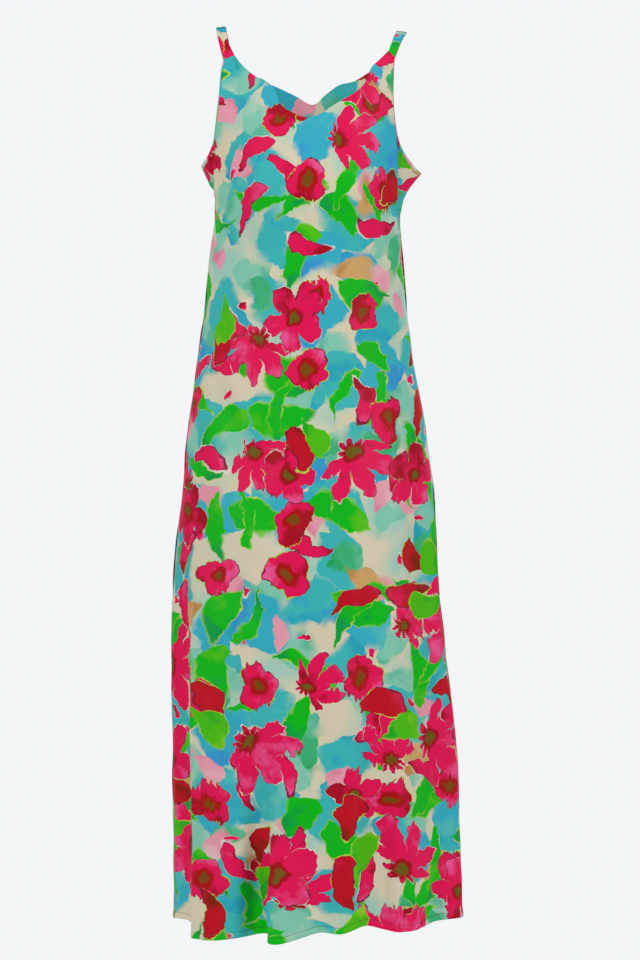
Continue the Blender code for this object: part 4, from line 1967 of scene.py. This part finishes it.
STUDIO_LIGHTS = (
    StudioLight(name="key_light", place=(3.0, -2.3, 0.7), side=1.4, power=50.0),
    StudioLight(name="fill_light", place=(-2.9, -2.4, 0.7), side=2.0, power=48.0),
    StudioLight(name="neck_light", place=(-0.2, -1.5, 1.5), side=0.9, power=7.0),
    StudioLight(name="back_light", place=(0.4, 3.2, 0.8), side=2.4, power=56.0),
)


@dataclass(frozen=True)
class Studio:
    """The floor, the lights and the camera. Lengths are in metres, but the sensor's is in mm."""

    camera_across: float = 0.0133
    camera_back: float = 4.6
    camera_down: float = 0.672
    picture_high: float = 1.4208
    sensor: float = 36.0
    floor_down: float = 1.5
    floor_radius: float = 0.74
    floor_thick: float = 0.02
    floor_sides: int = 128
    backdrop: str = "#F3F5F7"
    room_light: float = 0.5

    def build(self) -> None:
        """Sets the scene."""
        scene = bpy.context.scene
        scene.view_settings.view_transform = "Standard"
        self.add_floor()
        self.add_camera(scene)
        self.light_room(scene)
        for light in STUDIO_LIGHTS:
            self.add_light(scene, light)

    def add_floor(self) -> None:
        """Lays the floor below the hem."""
        bpy.ops.mesh.primitive_cylinder_add(
            vertices=self.floor_sides,
            radius=self.floor_radius,
            depth=self.floor_thick,
            location=(0, 0, -self.floor_down - self.floor_thick / 2),
        )
        floor = bpy.context.object
        floor.name = "floor"
        floor.data.materials.append(PaintedFloor().make())

    def add_camera(self, scene: bpy.types.Scene) -> None:
        """Stands the camera in front, at half the dress's height."""
        data = bpy.data.cameras.new("camera")
        data.sensor_width = self.sensor
        data.lens = self.sensor * self.camera_back / self.picture_high
        camera = bpy.data.objects.new("camera", data)
        camera.location = (self.camera_across, -self.camera_back, -self.camera_down)
        camera.rotation_euler = (math.pi / 2, 0, 0)
        scene.collection.objects.link(camera)
        scene.camera = camera

    def light_room(self, scene: bpy.types.Scene) -> None:
        """Fills the room with even pale light."""
        world = bpy.data.worlds.new("studio")
        world.use_nodes = True
        background = world.node_tree.nodes["Background"]
        background.inputs["Color"].default_value = hex_to_linear(self.backdrop)
        path = world.node_tree.nodes.new("ShaderNodeLightPath")
        strength = world.node_tree.nodes.new("ShaderNodeMapRange")
        strength.inputs["To Min"].default_value = self.room_light
        world.node_tree.links.new(path.outputs["Is Camera Ray"], strength.inputs["Value"])
        world.node_tree.links.new(strength.outputs["Result"], background.inputs["Strength"])
        scene.world = world

    def add_light(self, scene: bpy.types.Scene, light: StudioLight) -> None:
        """Hangs a light so that it faces the middle of the dress."""
        data = bpy.data.lights.new(light.name, "AREA")
        data.size = light.side
        data.energy = light.power
        lamp = bpy.data.objects.new(light.name, data)
        lamp.location = light.place
        way = Vector((0, 0, -self.camera_down)) - Vector(light.place)
        lamp.rotation_euler = way.to_track_quat("-Z", "Y").to_euler()
        scene.collection.objects.link(lamp)


@dataclass(frozen=True)
class Sundress:
    """The whole dress, from its panels to its last stitch.

    Attributes:
        front_flat: The front's width at its hem and its length, laid flat without seam allowances. Not
            used.
        back_flat: The back's. Not used.
        strap_flats: The left and the right strap's width and length. Not used.
    """

    front_flat: tuple[float, float] = (0.68, 1.30)
    back_flat: tuple[float, float] = (0.62, 1.29)
    strap_flats: tuple[tuple[float, float], ...] = ((0.0155, 0.160), (0.0155, 0.154))

    def build(self) -> None:
        """Builds and dresses every piece."""
        satin, thread = PrintedSatin().make(), SewingThread().make()
        # Painted shadow: near-black strap seam stitches stand for the shadowed line where each strap turns
        # over the shoulder.
        shadow_line_thread = SewingThread(name="shadow_line_polyester_thread", colour="#16201C", shaded="#0C1411")
        shadow_line_material = shadow_line_thread.make()
        front = Panel(is_front=True, creases=FRONT_CREASES)
        back = Panel(is_front=False, creases=BACK_CREASES)
        for side, rungs, flat in zip(Side, (STRAP_LEFT, STRAP_RIGHT), self.strap_flats):
            strap, seam = Strap(side, rungs).build()
            self.dress(strap, satin, f"strap_{side.value}")
            seam = self.dress(seam, shadow_line_material)
        for side in Side:
            binding = ArmholeBinding(side, front, back).build()
            self.dress(binding, satin, f"binding_{side.value}")
        for panel, flat in ((front, self.front_flat), (back, self.back_flat)):
            piece = self.dress(panel.build(), satin, panel.name)
            turning = self.dress(panel.build_hem_turning(), satin)
            # The hem's stitches are darker than real thread, in part painted shade along the turned hem's
            # stitching.
            stitches = self.dress(panel.stitches(), thread)

    def dress(
        self, piece: bpy.types.Object, material: bpy.types.Material, node: str | None = None
    ) -> bpy.types.Object:
        """Gives a piece its finish and its place on the body.

        Args:
            piece: The piece.
            material: Its material.
            node: The node that it stands for, if any.

        Returns:
            The piece.
        """
        piece.data.materials.append(material)
        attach(piece, BODY)
        if node:
            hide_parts(node)
        log.info("%s: %d faces", piece.name, len(piece.data.polygons))
        return piece


def main() -> None:
    """Builds the studio and the dress."""
    logging.basicConfig(level=logging.INFO, format="%(message)s")
    Studio().build()
    Sundress().build()


if __name__ == "__main__":
    main()
